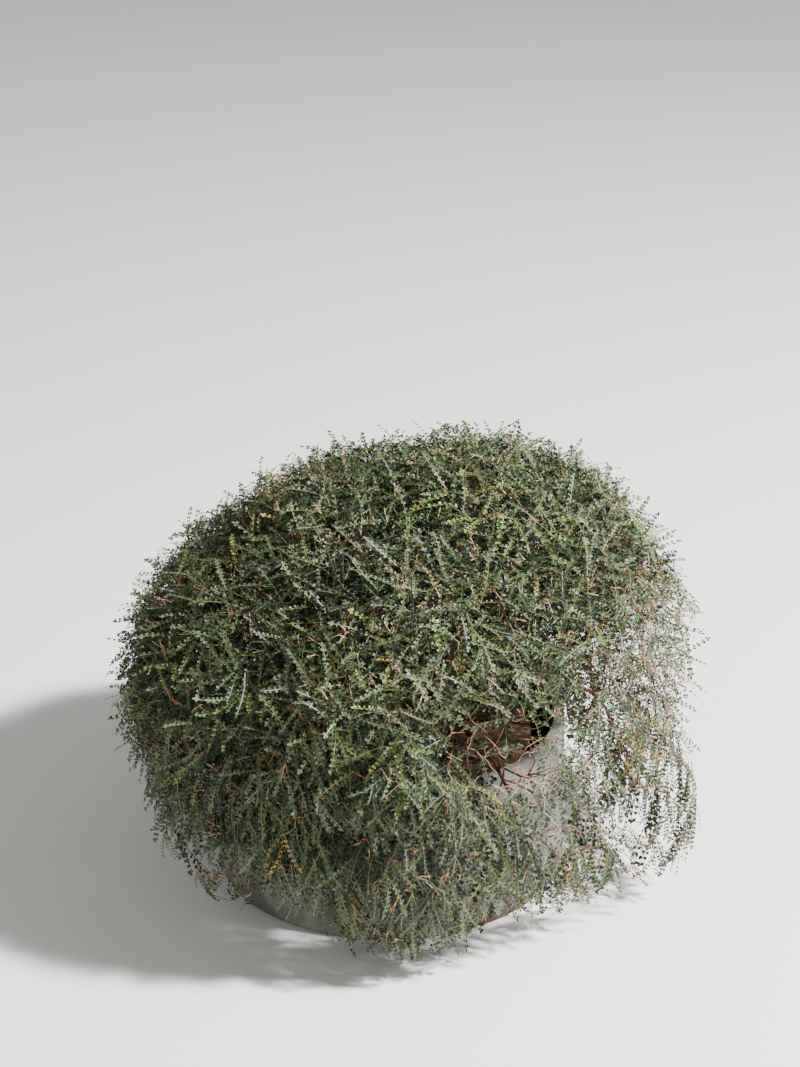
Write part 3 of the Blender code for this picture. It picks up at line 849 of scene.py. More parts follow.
def in_reach(points):
    """Whether points are within the reach of the solids, with a little to spare, and off the ground."""
    low = np.array(CAD_LOW) - BOX_SPARE
    high = np.array(CAD_HIGH) + BOX_SPARE
    return ((points > low) & (points < high)).all(1) & (points[:, 2] > GROUND_CLEAR)


def above_hem(points, dice):
    """Which points stay: all above the hem, and a few strays below it."""
    turn = np.degrees(np.arctan2(points[:, 1] - HUB[1], points[:, 0] - HUB[0]))
    hem = np.interp(turn, HEM[:, 0], HEM[:, 1])
    strays = np.interp(turn, HEM[:, 0], HEM[:, 2])
    share = np.clip((points[:, 2] - hem) / HEM_FADE + 1.0, strays, 1.0)
    return dice.uniform(size=len(points)) < share


def trunk_axis(share):
    """The middle of the trunk at a share of its height."""
    height = SOIL_TOP + GAP + TRUNK_HEIGHT * share
    return Vector((HUB[0] * share + TRUNK_LEAN * math.sin(math.pi * share), 0.0, height))


def trunk_radius(share, turn):
    """The trunk's radius: lobed roots at the foot, a waist, and a round crown."""
    flare = (1.0 - share) ** 3
    radius = TRUNK_WAIST_RADIUS + (TRUNK_FOOT_RADIUS - TRUNK_WAIST_RADIUS) * flare
    radius *= 1.0 + FLARE_DEPTH * flare * math.cos(FLARE_ROOTS * turn + FLARE_PHASE)
    rounding = max(0.0, (share - TRUNK_ROUND_FROM) / (1.0 - TRUNK_ROUND_FROM))
    return radius * math.sqrt(1.0 - TRUNK_ROUNDING * rounding**2)


@dataclass
class Mass:
    """One mass of foliage: its name, its heart, and the bough that carries it."""

    name: str
    ring: Ring
    turn: float
    heart: Vector
    is_open: bool
    bough: list = None


def along_curve(start, lean, end, steps):
    """Points of a bent line from start to end that leaves towards lean."""
    points = []
    for step in range(steps + 1):
        share = step / steps
        rest = 1.0 - share
        points.append(start * rest**2 + lean * (2.0 * rest * share) + end * share**2)
    return points


@functools.cache
def masses():
    """Every mass of foliage, ring by ring, with the middle line of the bough that carries it."""
    made = []
    for ring in RINGS:
        for index in range(ring.count):
            turn = ring.first_turn + 360.0 * index / ring.count
            away = Vector((math.cos(math.radians(turn)), math.sin(math.radians(turn)), 0.0))
            heart = Vector((HUB[0], HUB[1], ring.height)) + away * ring.radius
            off_side = abs((turn - OPEN_SIDE_TURN + 180.0) % 360.0 - 180.0)
            is_open = ring.can_be_open and off_side < OPEN_SIDE_SPREAD
            made.append(Mass(f"{ring.name}_{index + 1}", ring, turn, heart, is_open))
    for number, mass in enumerate(made):
        mass.bough = route_bough(mass, random.Random(SEED * 100 + number))
    return made


def route_bough(mass, dice):
    """One bough: out of the trunk's side, and up or over the pot's lip to its mass."""
    ring = mass.ring
    away = Vector((math.cos(math.radians(mass.turn)), math.sin(math.radians(mass.turn)), 0.0))
    root = trunk_axis(ring.bough_from)
    reach = OPEN_BOUGH_REACH if mass.is_open else ring.bough_reach
    end = root.lerp(mass.heart, reach)
    if ring.bough_over_lip:
        end.z = POT_HEIGHT + BOUGH_OVER_LIP
    bend = root.lerp(end, BOUGH_BEND_AT)
    if ring.bough_over_lip:
        bend.z = root.z
    lean = bend + Vector((0.0, 0.0, ring.bough_lift))
    start = root + (lean - root).normalized() * (TRUNK_WAIST_RADIUS - BOUGH_SUNK)
    if not ring.can_be_open:
        start = root + away * TOP_BOUGH_SPREAD
    path = along_curve(start, lean, end, BOUGH_LEVELS)
    side = away.cross(Vector((0.0, 0.0, 1.0)))
    for step in range(1, BOUGH_LEVELS):
        wander = math.sin(math.pi * step / BOUGH_LEVELS) * BOUGH_WANDER
        path[step] += side * (wander * dice.uniform(-1.0, 1.0))
        path[step].z += wander * dice.uniform(-0.5, 0.5)
    return path


def stem_of(mass):
    """The middle line of the mass's stem, which carries on from its bough to the heart."""
    tip = mass.bough[-1]
    ahead = (tip - mass.bough[-2]).normalized()
    lean = tip + ahead * (0.5 * (mass.heart - tip).length)
    return np.array(along_curve(tip, lean, mass.heart, STEM_STEPS))


@functools.cache
def bough_lines():
    """The first and last points of every straight stretch of the boughs, and their radii."""
    first, last, radii = [], [], []
    for mass in masses():
        for step in range(BOUGH_LEVELS):
            first.append(mass.bough[step])
            last.append(mass.bough[step + 1])
            share = step / BOUGH_LEVELS
            radii.append(mass.ring.bough_radius * (1.0 - share) + BOUGH_TIP_RADIUS * share)
    return np.array(first), np.array(last), np.array(radii)


def hits_bough(points, clear):
    """Whether points are nearer to a bough than its radius and a clearance."""
    first, last, radii = bough_lines()
    run = last - first
    off = points[:, None, :] - first
    share = np.clip((off * run).sum(-1) / (run * run).sum(-1), 0.0, 1.0)
    near = np.linalg.norm(off - share[..., None] * run, axis=-1)
    return (near < radii + clear).any(1)


def owners_of(points):
    """The number of the mass whose heart is nearest to each point, and how far off the border is."""
    hearts = np.array([mass.heart for mass in masses()])
    away = np.linalg.norm(points[:, None, :] - hearts, axis=2)
    nearest = np.sort(away, axis=1)
    return away.argmin(1), (nearest[:, 1] - nearest[:, 0]) * 0.5


def bumps(points):
    """A smooth swelling of the crown, from -1 to 1, that changes over a few centimetres."""
    steps = points / CROWN_BUMP_SIZE
    waves = np.zeros(len(points))
    for turn in range(3):
        x, y, z = np.roll(steps, turn, axis=1).T
        waves += np.sin(2.1 * x + 1.3 * turn) * np.cos(1.7 * y + 0.7 * z)
    return waves / 2.0


def thinned(points, spacing):
    """The numbers of points that are left when each keeps its spacing from those before it."""
    tree = kdtree.KDTree(len(points))
    for index, point in enumerate(points):
        tree.insert(point, index)
    tree.balance()
    gone = np.zeros(len(points), bool)
    kept = []
    for index, point in enumerate(points):
        if gone[index]:
            continue
        kept.append(index)
        for _, other, _ in tree.find_range(point, float(spacing[index])):
            gone[other] = True
    return np.array(kept)


@functools.cache
def tips_by_mass(spacing):
    """Places for the twigs' tips, mass by mass: the outer, leafy ones and the bare inner ones."""
    dice = np.random.default_rng(SEED)
    points = dice.uniform(np.array(CAD_LOW), np.array(CAD_HIGH), (DARTS, 3))
    shares = crown_share(points) * (1.0 - CROWN_BUMP * bumps(points))
    owners, _ = owners_of(points)
    thin = thinness(points)
    outer = (shares > LEAFY_SHELL[0]) & (shares < LEAFY_SHELL[1])
    inner = (shares > INNER_SHELL[0]) & (shares < INNER_SHELL[1])
    fit = ~hits_pot(points, 0.006) & ~hits_bough(points, 0.004) & in_reach(points)
    rooms = np.where(inner, INNER_SPACING, spacing) * (1.0 + THIN_SPACING * thin)
    chosen = np.flatnonzero(fit & (outer | inner))
    chosen = chosen[thinned(points[chosen], rooms[chosen])]
    chosen = chosen[above_hem(points[chosen] - (0.0, 0.0, HEM_HANG), dice)]
    leafy = outer & ~in_window(points)
    found = []
    for number in range(len(masses())):
        mine = chosen[owners[chosen] == number]
        found.append((points[mine], leafy[mine]))
    return found


@dataclass
class Wood:
    """The twigs of one mass as joints: where each is, the way the wood runs, and what feeds it."""

    places: np.ndarray
    ways: np.ndarray
    feeds: np.ndarray
    radii: np.ndarray
    twigs: list
    leafy: list


@functools.cache
def wood_of(number, spacing):
    """Grows the twigs of one mass: each tip joins the nearest fit joint of the wood so far."""
    mass = masses()[number]
    tips, leafy = tips_by_mass(spacing)[number]
    dice = np.random.default_rng(SEED * 10 + number)
    stem = stem_of(mass)
    room = STEM_STEPS + 1 + len(tips) * TWIG_STEPS
    places = np.zeros((room, 3))
    ways = np.zeros((room, 3))
    feeds = np.full(room, -1)
    places[:STEM_STEPS + 1] = stem
    ways[:STEM_STEPS + 1] = unit(np.gradient(stem, axis=0))
    feeds[1:STEM_STEPS + 1] = np.arange(STEM_STEPS)
    count = STEM_STEPS + 1
    twigs = [list(range(STEM_STEPS + 1))]
    ends = []
    for tip in np.argsort(np.linalg.norm(tips - stem[0], axis=1)):
        off = tips[tip] - places[1:count]
        far = np.linalg.norm(off, axis=1)
        turn = 1.0 - (off * ways[1:count]).sum(1) / np.maximum(far, 1e-9)
        cost = np.where(far < TWIG_SHORTEST, np.inf, far * (1.0 + TWIG_TURN_COST * turn))
        for joint in np.argsort(cost)[:TWIG_JOINTS_TRIED] + 1:
            path = twig_path(places[joint], ways[joint], tips[tip], dice)
            if hits_pot(path, TWIG_CLEAR).any() or hits_bough(path, TWIG_CLEAR).any():
                continue
            new = np.arange(count, count + TWIG_STEPS)
            places[new] = path
            ways[new] = unit(np.diff(np.vstack((places[joint], path)), axis=0))
            feeds[new] = np.concatenate(([joint], new[:-1]))
            twigs.append([joint, *new])
            if leafy[tip]:
                ends.append(new[-1])
            count += TWIG_STEPS
            break
    load = np.zeros(count)
    for twig in twigs:
        load[twig[-1]] += 1.0
    for joint in range(count - 1, 0, -1):
        load[feeds[joint]] += load[joint]
    radii = np.minimum(TIP_RADIUS * load**TWIG_SWELL, BOUGH_TIP_RADIUS)
    return Wood(places[:count], ways[:count], feeds[:count], radii, twigs, ends)


def twig_path(start, way, end, dice):
    """The joints of one twig: a bent line that turns a little to and fro, as burnet twigs do."""
    length = np.linalg.norm(end - start)
    lean = start + way * (TWIG_LEAN * length)
    shares = (np.arange(TWIG_STEPS) + 1.0)[:, None] / TWIG_STEPS
    path = start * (1 - shares) ** 2 + lean * 2 * (1 - shares) * shares + end * shares**2
    path[:-1] += dice.uniform(-1.0, 1.0, (TWIG_STEPS - 1, 3)) * (TWIG_ZIGZAG * length)
    return path


def tubes(paths, radii, sides):
    """Points and triangles of many closed tubes, each along its own row of points."""
    count, steps, _ = paths.shape
    ahead = np.empty_like(paths)
    ahead[:, 1:-1] = paths[:, 2:] - paths[:, :-2]
    ahead[:, 0] = paths[:, 1] - paths[:, 0]
    ahead[:, -1] = paths[:, -1] - paths[:, -2]
    ahead = unit(ahead)
    guide = np.where(np.abs(ahead[:, :1, 2:]) < 0.8, (0.0, 0.0, 1.0), (1.0, 0.0, 0.0))
    across = unit(np.cross(ahead, guide))
    side = np.cross(ahead, across)
    turns = np.arange(sides) * (math.tau / sides)
    round_it = across[:, :, None] * np.cos(turns)[:, None] + side[:, :, None] * np.sin(turns)[:, None]
    points = paths[:, :, None] + round_it * radii[:, :, None, None]
    ring = np.arange(sides)
    next_one = (ring + 1) % sides
    walls = []
    for step in range(steps - 1):
        low, high = step * sides, (step + 1) * sides
        walls.append(np.column_stack((low + ring, low + next_one, high + next_one)))
        walls.append(np.column_stack((low + ring, high + next_one, high + ring)))
    fan = np.column_stack((np.zeros(sides - 2, int), ring[1:-1], ring[2:]))
    walls.append(fan[:, ::-1])
    walls.append(fan + (steps - 1) * sides)
    one = np.vstack(walls)
    triangles = one[None] + (np.arange(count) * steps * sides)[:, None, None]
    return points.reshape(-1, 3), triangles.reshape(-1, 3)


def joined(parts):
    """Joins (points, triangles, slots) parts into one."""
    points, triangles, slots = [], [], []
    count = 0
    for part_points, part_triangles, part_slots in parts:
        points.append(part_points)
        triangles.append(part_triangles + count)
        slots.append(part_slots)
        count += len(part_points)
    return np.vstack(points), np.vstack(triangles), np.concatenate(slots)


def as_arrays(bm):
    """The points, triangles and material slots of a bmesh."""
    bmesh.ops.triangulate(bm, faces=bm.faces)
    bm.verts.index_update()
    points = np.array([vert.co for vert in bm.verts])
    triangles = np.array([[vert.index for vert in face.verts] for face in bm.faces])
    slots = np.array([face.material_index for face in bm.faces])
    bm.free()
    return points, triangles, slots


def copies(units, picks, frames, places, tints):
    """Joins many copies of unit shapes. A face in slot 0 takes its copy's tint as its slot."""
    parts = []
    for number, (points, triangles, slots) in enumerate(units):
        mine = np.flatnonzero(picks == number)
        if not len(mine):
            continue
        moved = np.einsum("nij,vj->nvi", frames[mine], points) + places[mine][:, None]
        wired = triangles[None] + (np.arange(len(mine)) * len(points))[:, None, None]
        worn = np.where(slots[None] == 0, tints[mine][:, None], slots[None])
        parts.append((moved.reshape(-1, 3), wired.reshape(-1, 3), worn.ravel()))
    return joined(parts)


LEAF_SLOTS = ("dark", "blue", "mid", "grey", "olive", "young", "yellow", "rachis")
RACHIS = LEAF_SLOTS.index("rachis")


def unit_leaf(pairs, bend, sway, is_plain, dice):
    """A pinnate leaf one unit long along Y, its upper face to +Z, that bends down to its tip."""
    bm = bmesh.new()
    step = (1.0 - LEAF_BARE_FOOT - LEAF_BARE_TIP) / pairs
    size = PLAIN_LEAFLET_LENGTH if is_plain else LEAFLET_LENGTH
    for pair in range(pairs):
        along = LEAF_BARE_FOOT + step * (pair + 0.5)
        grown = 0.72 + 0.28 * math.sin(math.pi * min(1.0, (pair + 1.0) / (0.7 * pairs)) / 2.0)
        for side in (-1.0, 1.0):
            turned_by = math.radians(LEAFLET_TURN + dice.uniform(-12, 12))
            turn = Matrix.Rotation(-side * turned_by, 4, "Z")
            tilted_by = math.radians(LEAFLET_TILT + dice.uniform(-22, 22))
            tilt = Matrix.Rotation(-side * tilted_by, 4, "Y")
            root = Matrix.Translation((side * 0.012, along + dice.uniform(-0.1, 0.1) * step, 0.0))
            add_leaflet(bm, root @ tilt @ turn, size * grown * dice.uniform(0.9, 1.1), is_plain)
    add_leaflet(bm, Matrix.Translation((0.0, 1.0 - size, 0.0)), size, is_plain)
    grid = bmesh.ops.create_grid(bm, x_segments=1, y_segments=1 if is_plain else 3, size=0.5)["verts"]
    middle = Matrix.Translation((0.0, RACHIS_LENGTH / 2.0, -0.002))
    stretch = middle @ Matrix.Diagonal((RACHIS_WIDTH, RACHIS_LENGTH, 1.0, 1.0))
    bmesh.ops.transform(bm, matrix=stretch, verts=grid)
    for face in {face for vert in grid for face in vert.link_faces}:
        face.material_index = RACHIS
    for vert in bm.verts:
        y = vert.co.y
        vert.co.z -= bend * y * y
        vert.co.x += sway * y * y
    return as_arrays(bm)


def add_leaflet(bm, frame, length, is_plain):
    """One leaflet: a rounded outline of six corners, or four where plain, folded along its middle."""
    sides = 4 if is_plain else 6
    half = length * 0.5
    ring = bmesh.ops.create_circle(bm, cap_ends=True, segments=sides, radius=half)["verts"]
    tip = max(ring, key=lambda vert: vert.co.y)
    base = min(ring, key=lambda vert: vert.co.y)
    bmesh.ops.connect_verts(bm, verts=[tip, base])
    for vert in ring:
        vert.co.z = abs(vert.co.x) * LEAFLET_FOLD
        vert.co.x *= 0.95
        vert.co.y += half
    bmesh.ops.transform(bm, matrix=frame, verts=ring)


@functools.cache
def leaf_units():
    """The leaves that every spray is made of: outer ones first, then the plain inner ones."""
    dice = random.Random(SEED)
    outer = [
        unit_leaf(8, 0.18, 0.10, False, dice),
        unit_leaf(7, 0.34, -0.16, False, dice),
        unit_leaf(7, 0.24, 0.20, False, dice),
        unit_leaf(8, 0.42, -0.06, False, dice),
        unit_leaf(7, 0.08, -0.24, False, dice),
    ]
    inner = [unit_leaf(6, 0.15, 0.05, True, dice), unit_leaf(6, 0.22, -0.06, True, dice)]
    return outer, inner


def leaf_ways(places, ahead, spread, dice):
    """Which way leaves point: out of the crown, and hanging more the lower they are."""
    hang = np.clip((HANG_BELOW - places[:, 2]) / HANG_FALL, 0.0, 1.0)[:, None]
    rise = np.clip((places[:, 2] - HANG_BELOW) / RISE_FALL, 0.0, 1.0)[:, None]
    up = np.array((0.0, 0.0, 1.0))
    way = outward(places) * (1.0 - HANG_OUT_LOST * hang) + ahead * LEAF_AHEAD
    way = way + up * (RISE_PULL * rise - HANG_PULL * hang)
    stray = unit(dice.normal(size=places.shape)) * (spread * (1.0 - 0.55 * hang))
    return unit(unit(way) + stray)


def leaf_frames(ways, places, lengths, dice):
    """Frames for unit leaves: Y along the leaf, and Z out of the crown and up."""
    face = outward(places) * LEAF_FACE_OUT + np.array((0.0, 0.0, LEAF_FACE_UP))
    face = face + dice.normal(size=ways.shape) * LEAF_FACE_STRAY
    through = unit(face - ways * (face * ways).sum(1)[:, None])
    across = np.cross(ways, through)
    frames = np.stack((across, ways, through), axis=2)
    return frames * lengths[:, None, None]


def place_leaves(number, roots, ahead, lengths, spread, tip_shares, dice):
    """Turns leaves until each keeps to its mass, and gives the frames and the leaves that fit."""
    frames = np.zeros((len(roots), 3, 3))
    placed = np.zeros(len(roots), bool)
    may_cross = dice.uniform(size=len(roots)) < WINDOW_LEAVES
    for _ in range(LEAF_TRIES):
        left = np.flatnonzero(~placed)
        if not len(left):
            break
        ways = leaf_ways(roots[left], ahead[left], spread, dice)
        turned_frames = leaf_frames(ways, roots[left], lengths[left], dice)
        fit = np.ones(len(left), bool)
        for share in (0.35, 0.70, 1.00):
            drop = np.array((0.0, share, -0.15 * share * share))
            points = roots[left] + turned_frames @ drop
            owners, border = owners_of(points)
            fit &= (owners == number) | (border < LEAF_OVER_BORDER)
            fit &= (crown_share(points) < tip_shares[left]) & in_reach(points)
            fit &= ~hits_pot(points, LEAF_POT_CLEAR) & (may_cross[left] | ~in_window(points))
        frames[left[fit]] = turned_frames[fit]
        placed[left[fit]] = True
    tips = roots + frames[:, :, 1]
    placed &= dice.uniform(size=len(tips)) > THIN_LEAVES_LOST * thinness(tips)
    return frames[placed], placed


def spray_tints(places, dice):
    """A tint for each spray: bluer and darker to the left and low down, as painted shade on the side
    away from the key lamp and under the crown, paler grey-green higher up as a painted highlight, and
    fresher at the top.
    """
    count = len(places)
    high = np.clip((places[:, 2] - 0.15) / 0.35, 0.0, 1.0)
    right = np.clip((places[:, 0] + 0.30) / 0.60, 0.0, 1.0)
    # Shares of the tints in the order of LEAF_SLOTS: the dark tint grows low down and the blue one to
    # the left as painted shade, and the grey one grows higher up as a painted highlight
    shares = np.column_stack(
        (
            0.22 - 0.10 * high,
            0.24 - 0.08 * right,
            np.full(count, 0.26),
            0.10 + 0.10 * high,
            0.10 + 0.06 * right,
            0.018 + 0.016 * high,
            np.full(count, 0.006),
        )
    )
    marks = np.cumsum(shares, axis=1)
    marks /= marks[:, -1:]
    return (dice.uniform(size=(count, 1)) > marks).sum(1)


def fibres_at(point, stretch):
    """How far the bark stands out at a point: ridges that run along the limb."""
    return 1.0 - 2.0 * abs(noise.noise(Vector((point.x, point.y, point.z * stretch))))


def smooth_line(points, steps):
    """A smooth line through points, with steps places between each two."""
    ends = [points[0] * 2.0 - points[1], *points, points[-1] * 2.0 - points[-2]]
    line = []
    for before, first, last, after in zip(ends, ends[1:], ends[2:], ends[3:]):
        for step in range(steps):
            t = step / steps
            line.append(
                0.5
                * (
                    first * 2.0
                    + (last - before) * t
                    + (before * 2.0 - first * 5.0 + last * 4.0 - after) * t**2
                    + (first * 3.0 - before - last * 3.0 + after) * t**3
                )
            )
    line.append(points[-1].copy())
    return line


def grown_limb(path, radius_at, sides, relief, ridges, name):
    """A limb with ridged bark: a ring extruded along a path, each corner pushed out by the bark.

    radius_at gives the plain radius at a share of the length and a turn round the limb. The UV map
    runs once round the limb across, and along it in the same measure up.
    """
    bm = bmesh.new()
    uv = bm.loops.layers.uv.new("UVMap")
    ring = bmesh.ops.create_circle(bm, cap_ends=True, segments=sides, radius=1.0)["verts"]
    cap = ring[0].link_faces[0]
    marks = {}
    run = 0.0
    girth = math.tau * radius_at(0.5, 0.0)
    across = (path[1] - path[0]).orthogonal().normalized()
    if abs((path[1] - path[0]).normalized().z) > 0.9:
        across = Vector((1.0, 0.0, 0.0))
    for level, place in enumerate(path):
        if level:
            grown = bmesh.ops.extrude_face_region(bm, geom=[cap])["geom"]
            if level > 1:
                bmesh.ops.delete(bm, geom=[cap], context="FACES_ONLY")
            cap = next(item for item in grown if isinstance(item, bmesh.types.BMFace))
            ring = [item for item in grown if isinstance(item, bmesh.types.BMVert)]
            run += (place - path[level - 1]).length
        before, after = path[max(level - 1, 0)], path[min(level + 1, len(path) - 1)]
        ahead = (after - before).normalized()
        across = (across - ahead * across.dot(ahead)).normalized()
        side = ahead.cross(across)
        share = level / (len(path) - 1)
        for number, corner in enumerate(cap.verts):
            turn = math.tau * number / sides
            x, y = math.cos(turn), math.sin(turn)
            bark = fibres_at(Vector((ridges * x, ridges * y, run)), BARK_STRETCH)
            radius = radius_at(share, turn) + relief * bark
            corner.co = place + (across * x + side * y) * radius
            marks[corner] = (number / sides, run / girth)
    for face in bm.faces:
        seam = max(marks[loop.vert][0] for loop in face.loops) > 0.75
        for loop in face.loops:
            u, v = marks[loop.vert]
            loop[uv].uv = (u + 1.0 if seam and u < 0.25 else u, v)
    return mesh_from_bmesh(bm, name, smooth_angle=SMOOTH_ANGLE)


class BurnetAddPot(bpy.types.Operator):
    """Adds the cast pot"""

    bl_idname = "burnet.add_pot"
    bl_label = "Add Pot"

    def execute(self, context):
        foot, lip, inner = POT_FOOT_ROUND, POT_LIP_ROUND, POT_RADIUS - POT_WALL
        top, steps = POT_HEIGHT - lip, POT_ROUND_STEPS
        profile = [(0.0, 0.0), (POT_RADIUS * 0.5, 0.0)]
        profile += arc(POT_RADIUS - foot, foot, foot, -90.0, 0.0, steps)
        for step in range(1, POT_WALL_STEPS):
            profile.append((POT_RADIUS, foot + (POT_HEIGHT - lip - foot) * (step / POT_WALL_STEPS)))
        profile += arc(POT_RADIUS - lip, top, lip, 0.0, 90.0, steps)
        profile += arc(inner + lip, top, lip, 90.0, 180.0, steps)
        profile += [(inner, POT_HEIGHT * 0.8), (inner, POT_FLOOR), (0.0, POT_FLOOR)]
        bm = turned(profile, POT_SIDES)
        for vert in bm.verts:
            if foot < vert.co.z < top and vert.co.xy.length > inner + lip:
                swell = sum(noise.noise(vert.co * scale) * depth for scale, depth in POT_SWELLS)
                vert.co.xy *= 1.0 - abs(swell) / POT_RADIUS
        mesh = mesh_from_bmesh(bm, "pot_wall", smooth_angle=SMOOTH_ANGLE)
        finish_piece("pot_wall", mesh, [cast_concrete(context.scene.burnet_pot)], ["pot"])
        return {"FINISHED"}


class BurnetAddSoil(bpy.types.Operator):
    """Adds the soil and the fallen leaflets on it"""

    bl_idname = "burnet.add_soil"
    bl_label = "Add Soil"

    def execute(self, context):
        settings = context.scene.burnet_pot
        profile = [(0.0, POT_FLOOR + GAP), (SOIL_RADIUS, POT_FLOOR + GAP)]
        for step in range(SOIL_RINGS, -1, -1):
            radius = SOIL_RADIUS * step / SOIL_RINGS
            slope = max(0.0, (radius - SOIL_SEAT_RADIUS) / (SOIL_RADIUS - SOIL_SEAT_RADIUS))
            profile.append((radius, SOIL_TOP - SOIL_FALL * slope))
        bm = turned(profile, SOIL_SIDES)
        for vert in bm.verts:
            off = vert.co.xy.length
            if vert.co.z > SOIL_TOP - SOIL_FALL - GAP and off < SOIL_RADIUS - GAP:
                crumb = noise.noise(vert.co * 90.0) + 0.6 * noise.noise(vert.co * 210.0)
                vert.co.z += settings.crumb_height * min(crumb, 0.0)
        mesh = mesh_from_bmesh(bm, "soil_surface", smooth_angle=70.0)
        finish_piece("soil_surface", mesh, [potting_soil(settings)], ["soil"])
        self.add_litter(settings)
        return {"FINISHED"}

    def add_litter(self, settings):
        """Scatters fallen leaflets over the soil."""
        dice = np.random.default_rng(SEED + 1)
        count = LITTER_COUNT
        bm = bmesh.new()
        add_leaflet(bm, Matrix.Identity(4), 1.0, False)
        leaflet = as_arrays(bm)
        nearest, furthest = TRUNK_FOOT_RADIUS + 0.012, SOIL_RADIUS - 0.008
        radius = np.sqrt(dice.uniform(nearest**2, furthest**2, count))
        turn = dice.uniform(0.0, math.tau, count)
        slope = np.maximum(0.0, (radius - SOIL_SEAT_RADIUS) / (SOIL_RADIUS - SOIL_SEAT_RADIUS))
        height = SOIL_TOP - SOIL_FALL * slope + LITTER_LIFT
        places = np.column_stack((radius * np.cos(turn), radius * np.sin(turn), height))
        lean = dice.normal(size=(count, 3)) * (0.25, 0.25, 0.0) + (0.0, 0.0, 1.0)
        ways = unit(np.cross(unit(lean), dice.normal(size=(count, 3))))
        through = unit(lean)
        frames = np.stack((np.cross(ways, through), ways, through), axis=2)
        frames *= dice.uniform(*LITTER_LENGTH, count)[:, None, None]
        tints = dice.integers(0, 2, count)
        points, triangles, slots = copies([leaflet], np.zeros(count, int), frames, places, tints)
        mesh = mesh_from_arrays("litter", points, triangles, slots)
        # Dead leaflets: matt and brown, the rotten ones as dark as the soil they turn into
        dry, _ = new_material("dry_leaflets", settings.litter, 0.8, 0.2)
        rotten, _ = new_material("rotten_leaflets", settings.dry_soil, 0.9, 0.2)
        finish_piece("litter", mesh, [dry, rotten], ["soil"])


class BurnetAddLimbs(bpy.types.Operator):
    """Adds the trunk and the boughs with their bark"""

    bl_idname = "burnet.add_limbs"
    bl_label = "Add Trunk and Boughs"

    def execute(self, context):
        settings = context.scene.burnet_wood
        bark = burnet_bark(settings)
        path = [trunk_axis(level / TRUNK_LEVELS) for level in range(TRUNK_LEVELS + 1)]
        relief = settings.bark_relief
        mesh = grown_limb(path, trunk_radius, TRUNK_SIDES, relief, TRUNK_RIDGES, "trunk_bark")
        finish_piece("trunk_bark", mesh, [bark], ["trunk"])
        for mass in masses():
            line = smooth_line(mass.bough, BOUGH_STEPS)
            first = mass.ring.bough_radius

            def radius_at(share, turn, first=first):
                return first + (BOUGH_TIP_RADIUS - first) * share

            name = f"bark_{mass.name}"
            relief = settings.bough_relief
            mesh = grown_limb(line, radius_at, BOUGH_SIDES, relief, BOUGH_RIDGES, name)
            finish_piece(name, mesh, [bark], [f"bough_{mass.name}"])
        return {"FINISHED"}


class BurnetAddTwigs(bpy.types.Operator):
    """Adds the twigs of every mass of foliage"""

    bl_idname = "burnet.add_twigs"
    bl_label = "Add Twigs"

    def execute(self, context):
        settings = context.scene.burnet_wood
        # Twig bark: thin and dull, dark where it is old and paler brown on the last years' growth
        old, _ = new_material("burnet_twig_old", settings.old_twig, 0.8, 0.25)
        young, _ = new_material("burnet_twig_young", settings.young_twig, 0.7, 0.3)
        for number, mass in enumerate(masses()):
            wood = wood_of(number, settings.tip_spacing)
            stem = self.tube_part(wood, wood.twigs[:1], STEM_SIDES)
            twigs = self.tube_part(wood, wood.twigs[1:], TWIG_SIDES)
            points, triangles, slots = joined([stem, twigs])
            name = f"twigs_{mass.name}"
            mesh = mesh_from_arrays(name, points, triangles, slots)
            finish_piece(name, mesh, [old, young], [f"foliage_{mass.name}"])
        return {"FINISHED"}

    def tube_part(self, wood, twigs, sides):
        """Tubes along twigs, the thin outer ones in the young bark's slot."""
        joints = np.array(twigs)
        paths = wood.places[joints]
        radii = wood.radii[joints]
        if sides == TWIG_SIDES:
            radii[:, 0] = np.minimum(radii[:, 0], radii[:, 1] * TWIG_FOOT_SWELL)
        points, triangles = tubes(paths, radii, sides)
        is_young = crown_share(paths[:, -1]) > YOUNG_TWIG_SHARE
        is_young &= radii[:, 1] < YOUNG_TWIG_RADIUS
        slots = np.repeat(is_young.astype(int), len(triangles) // len(joints))
        return points, triangles, slots


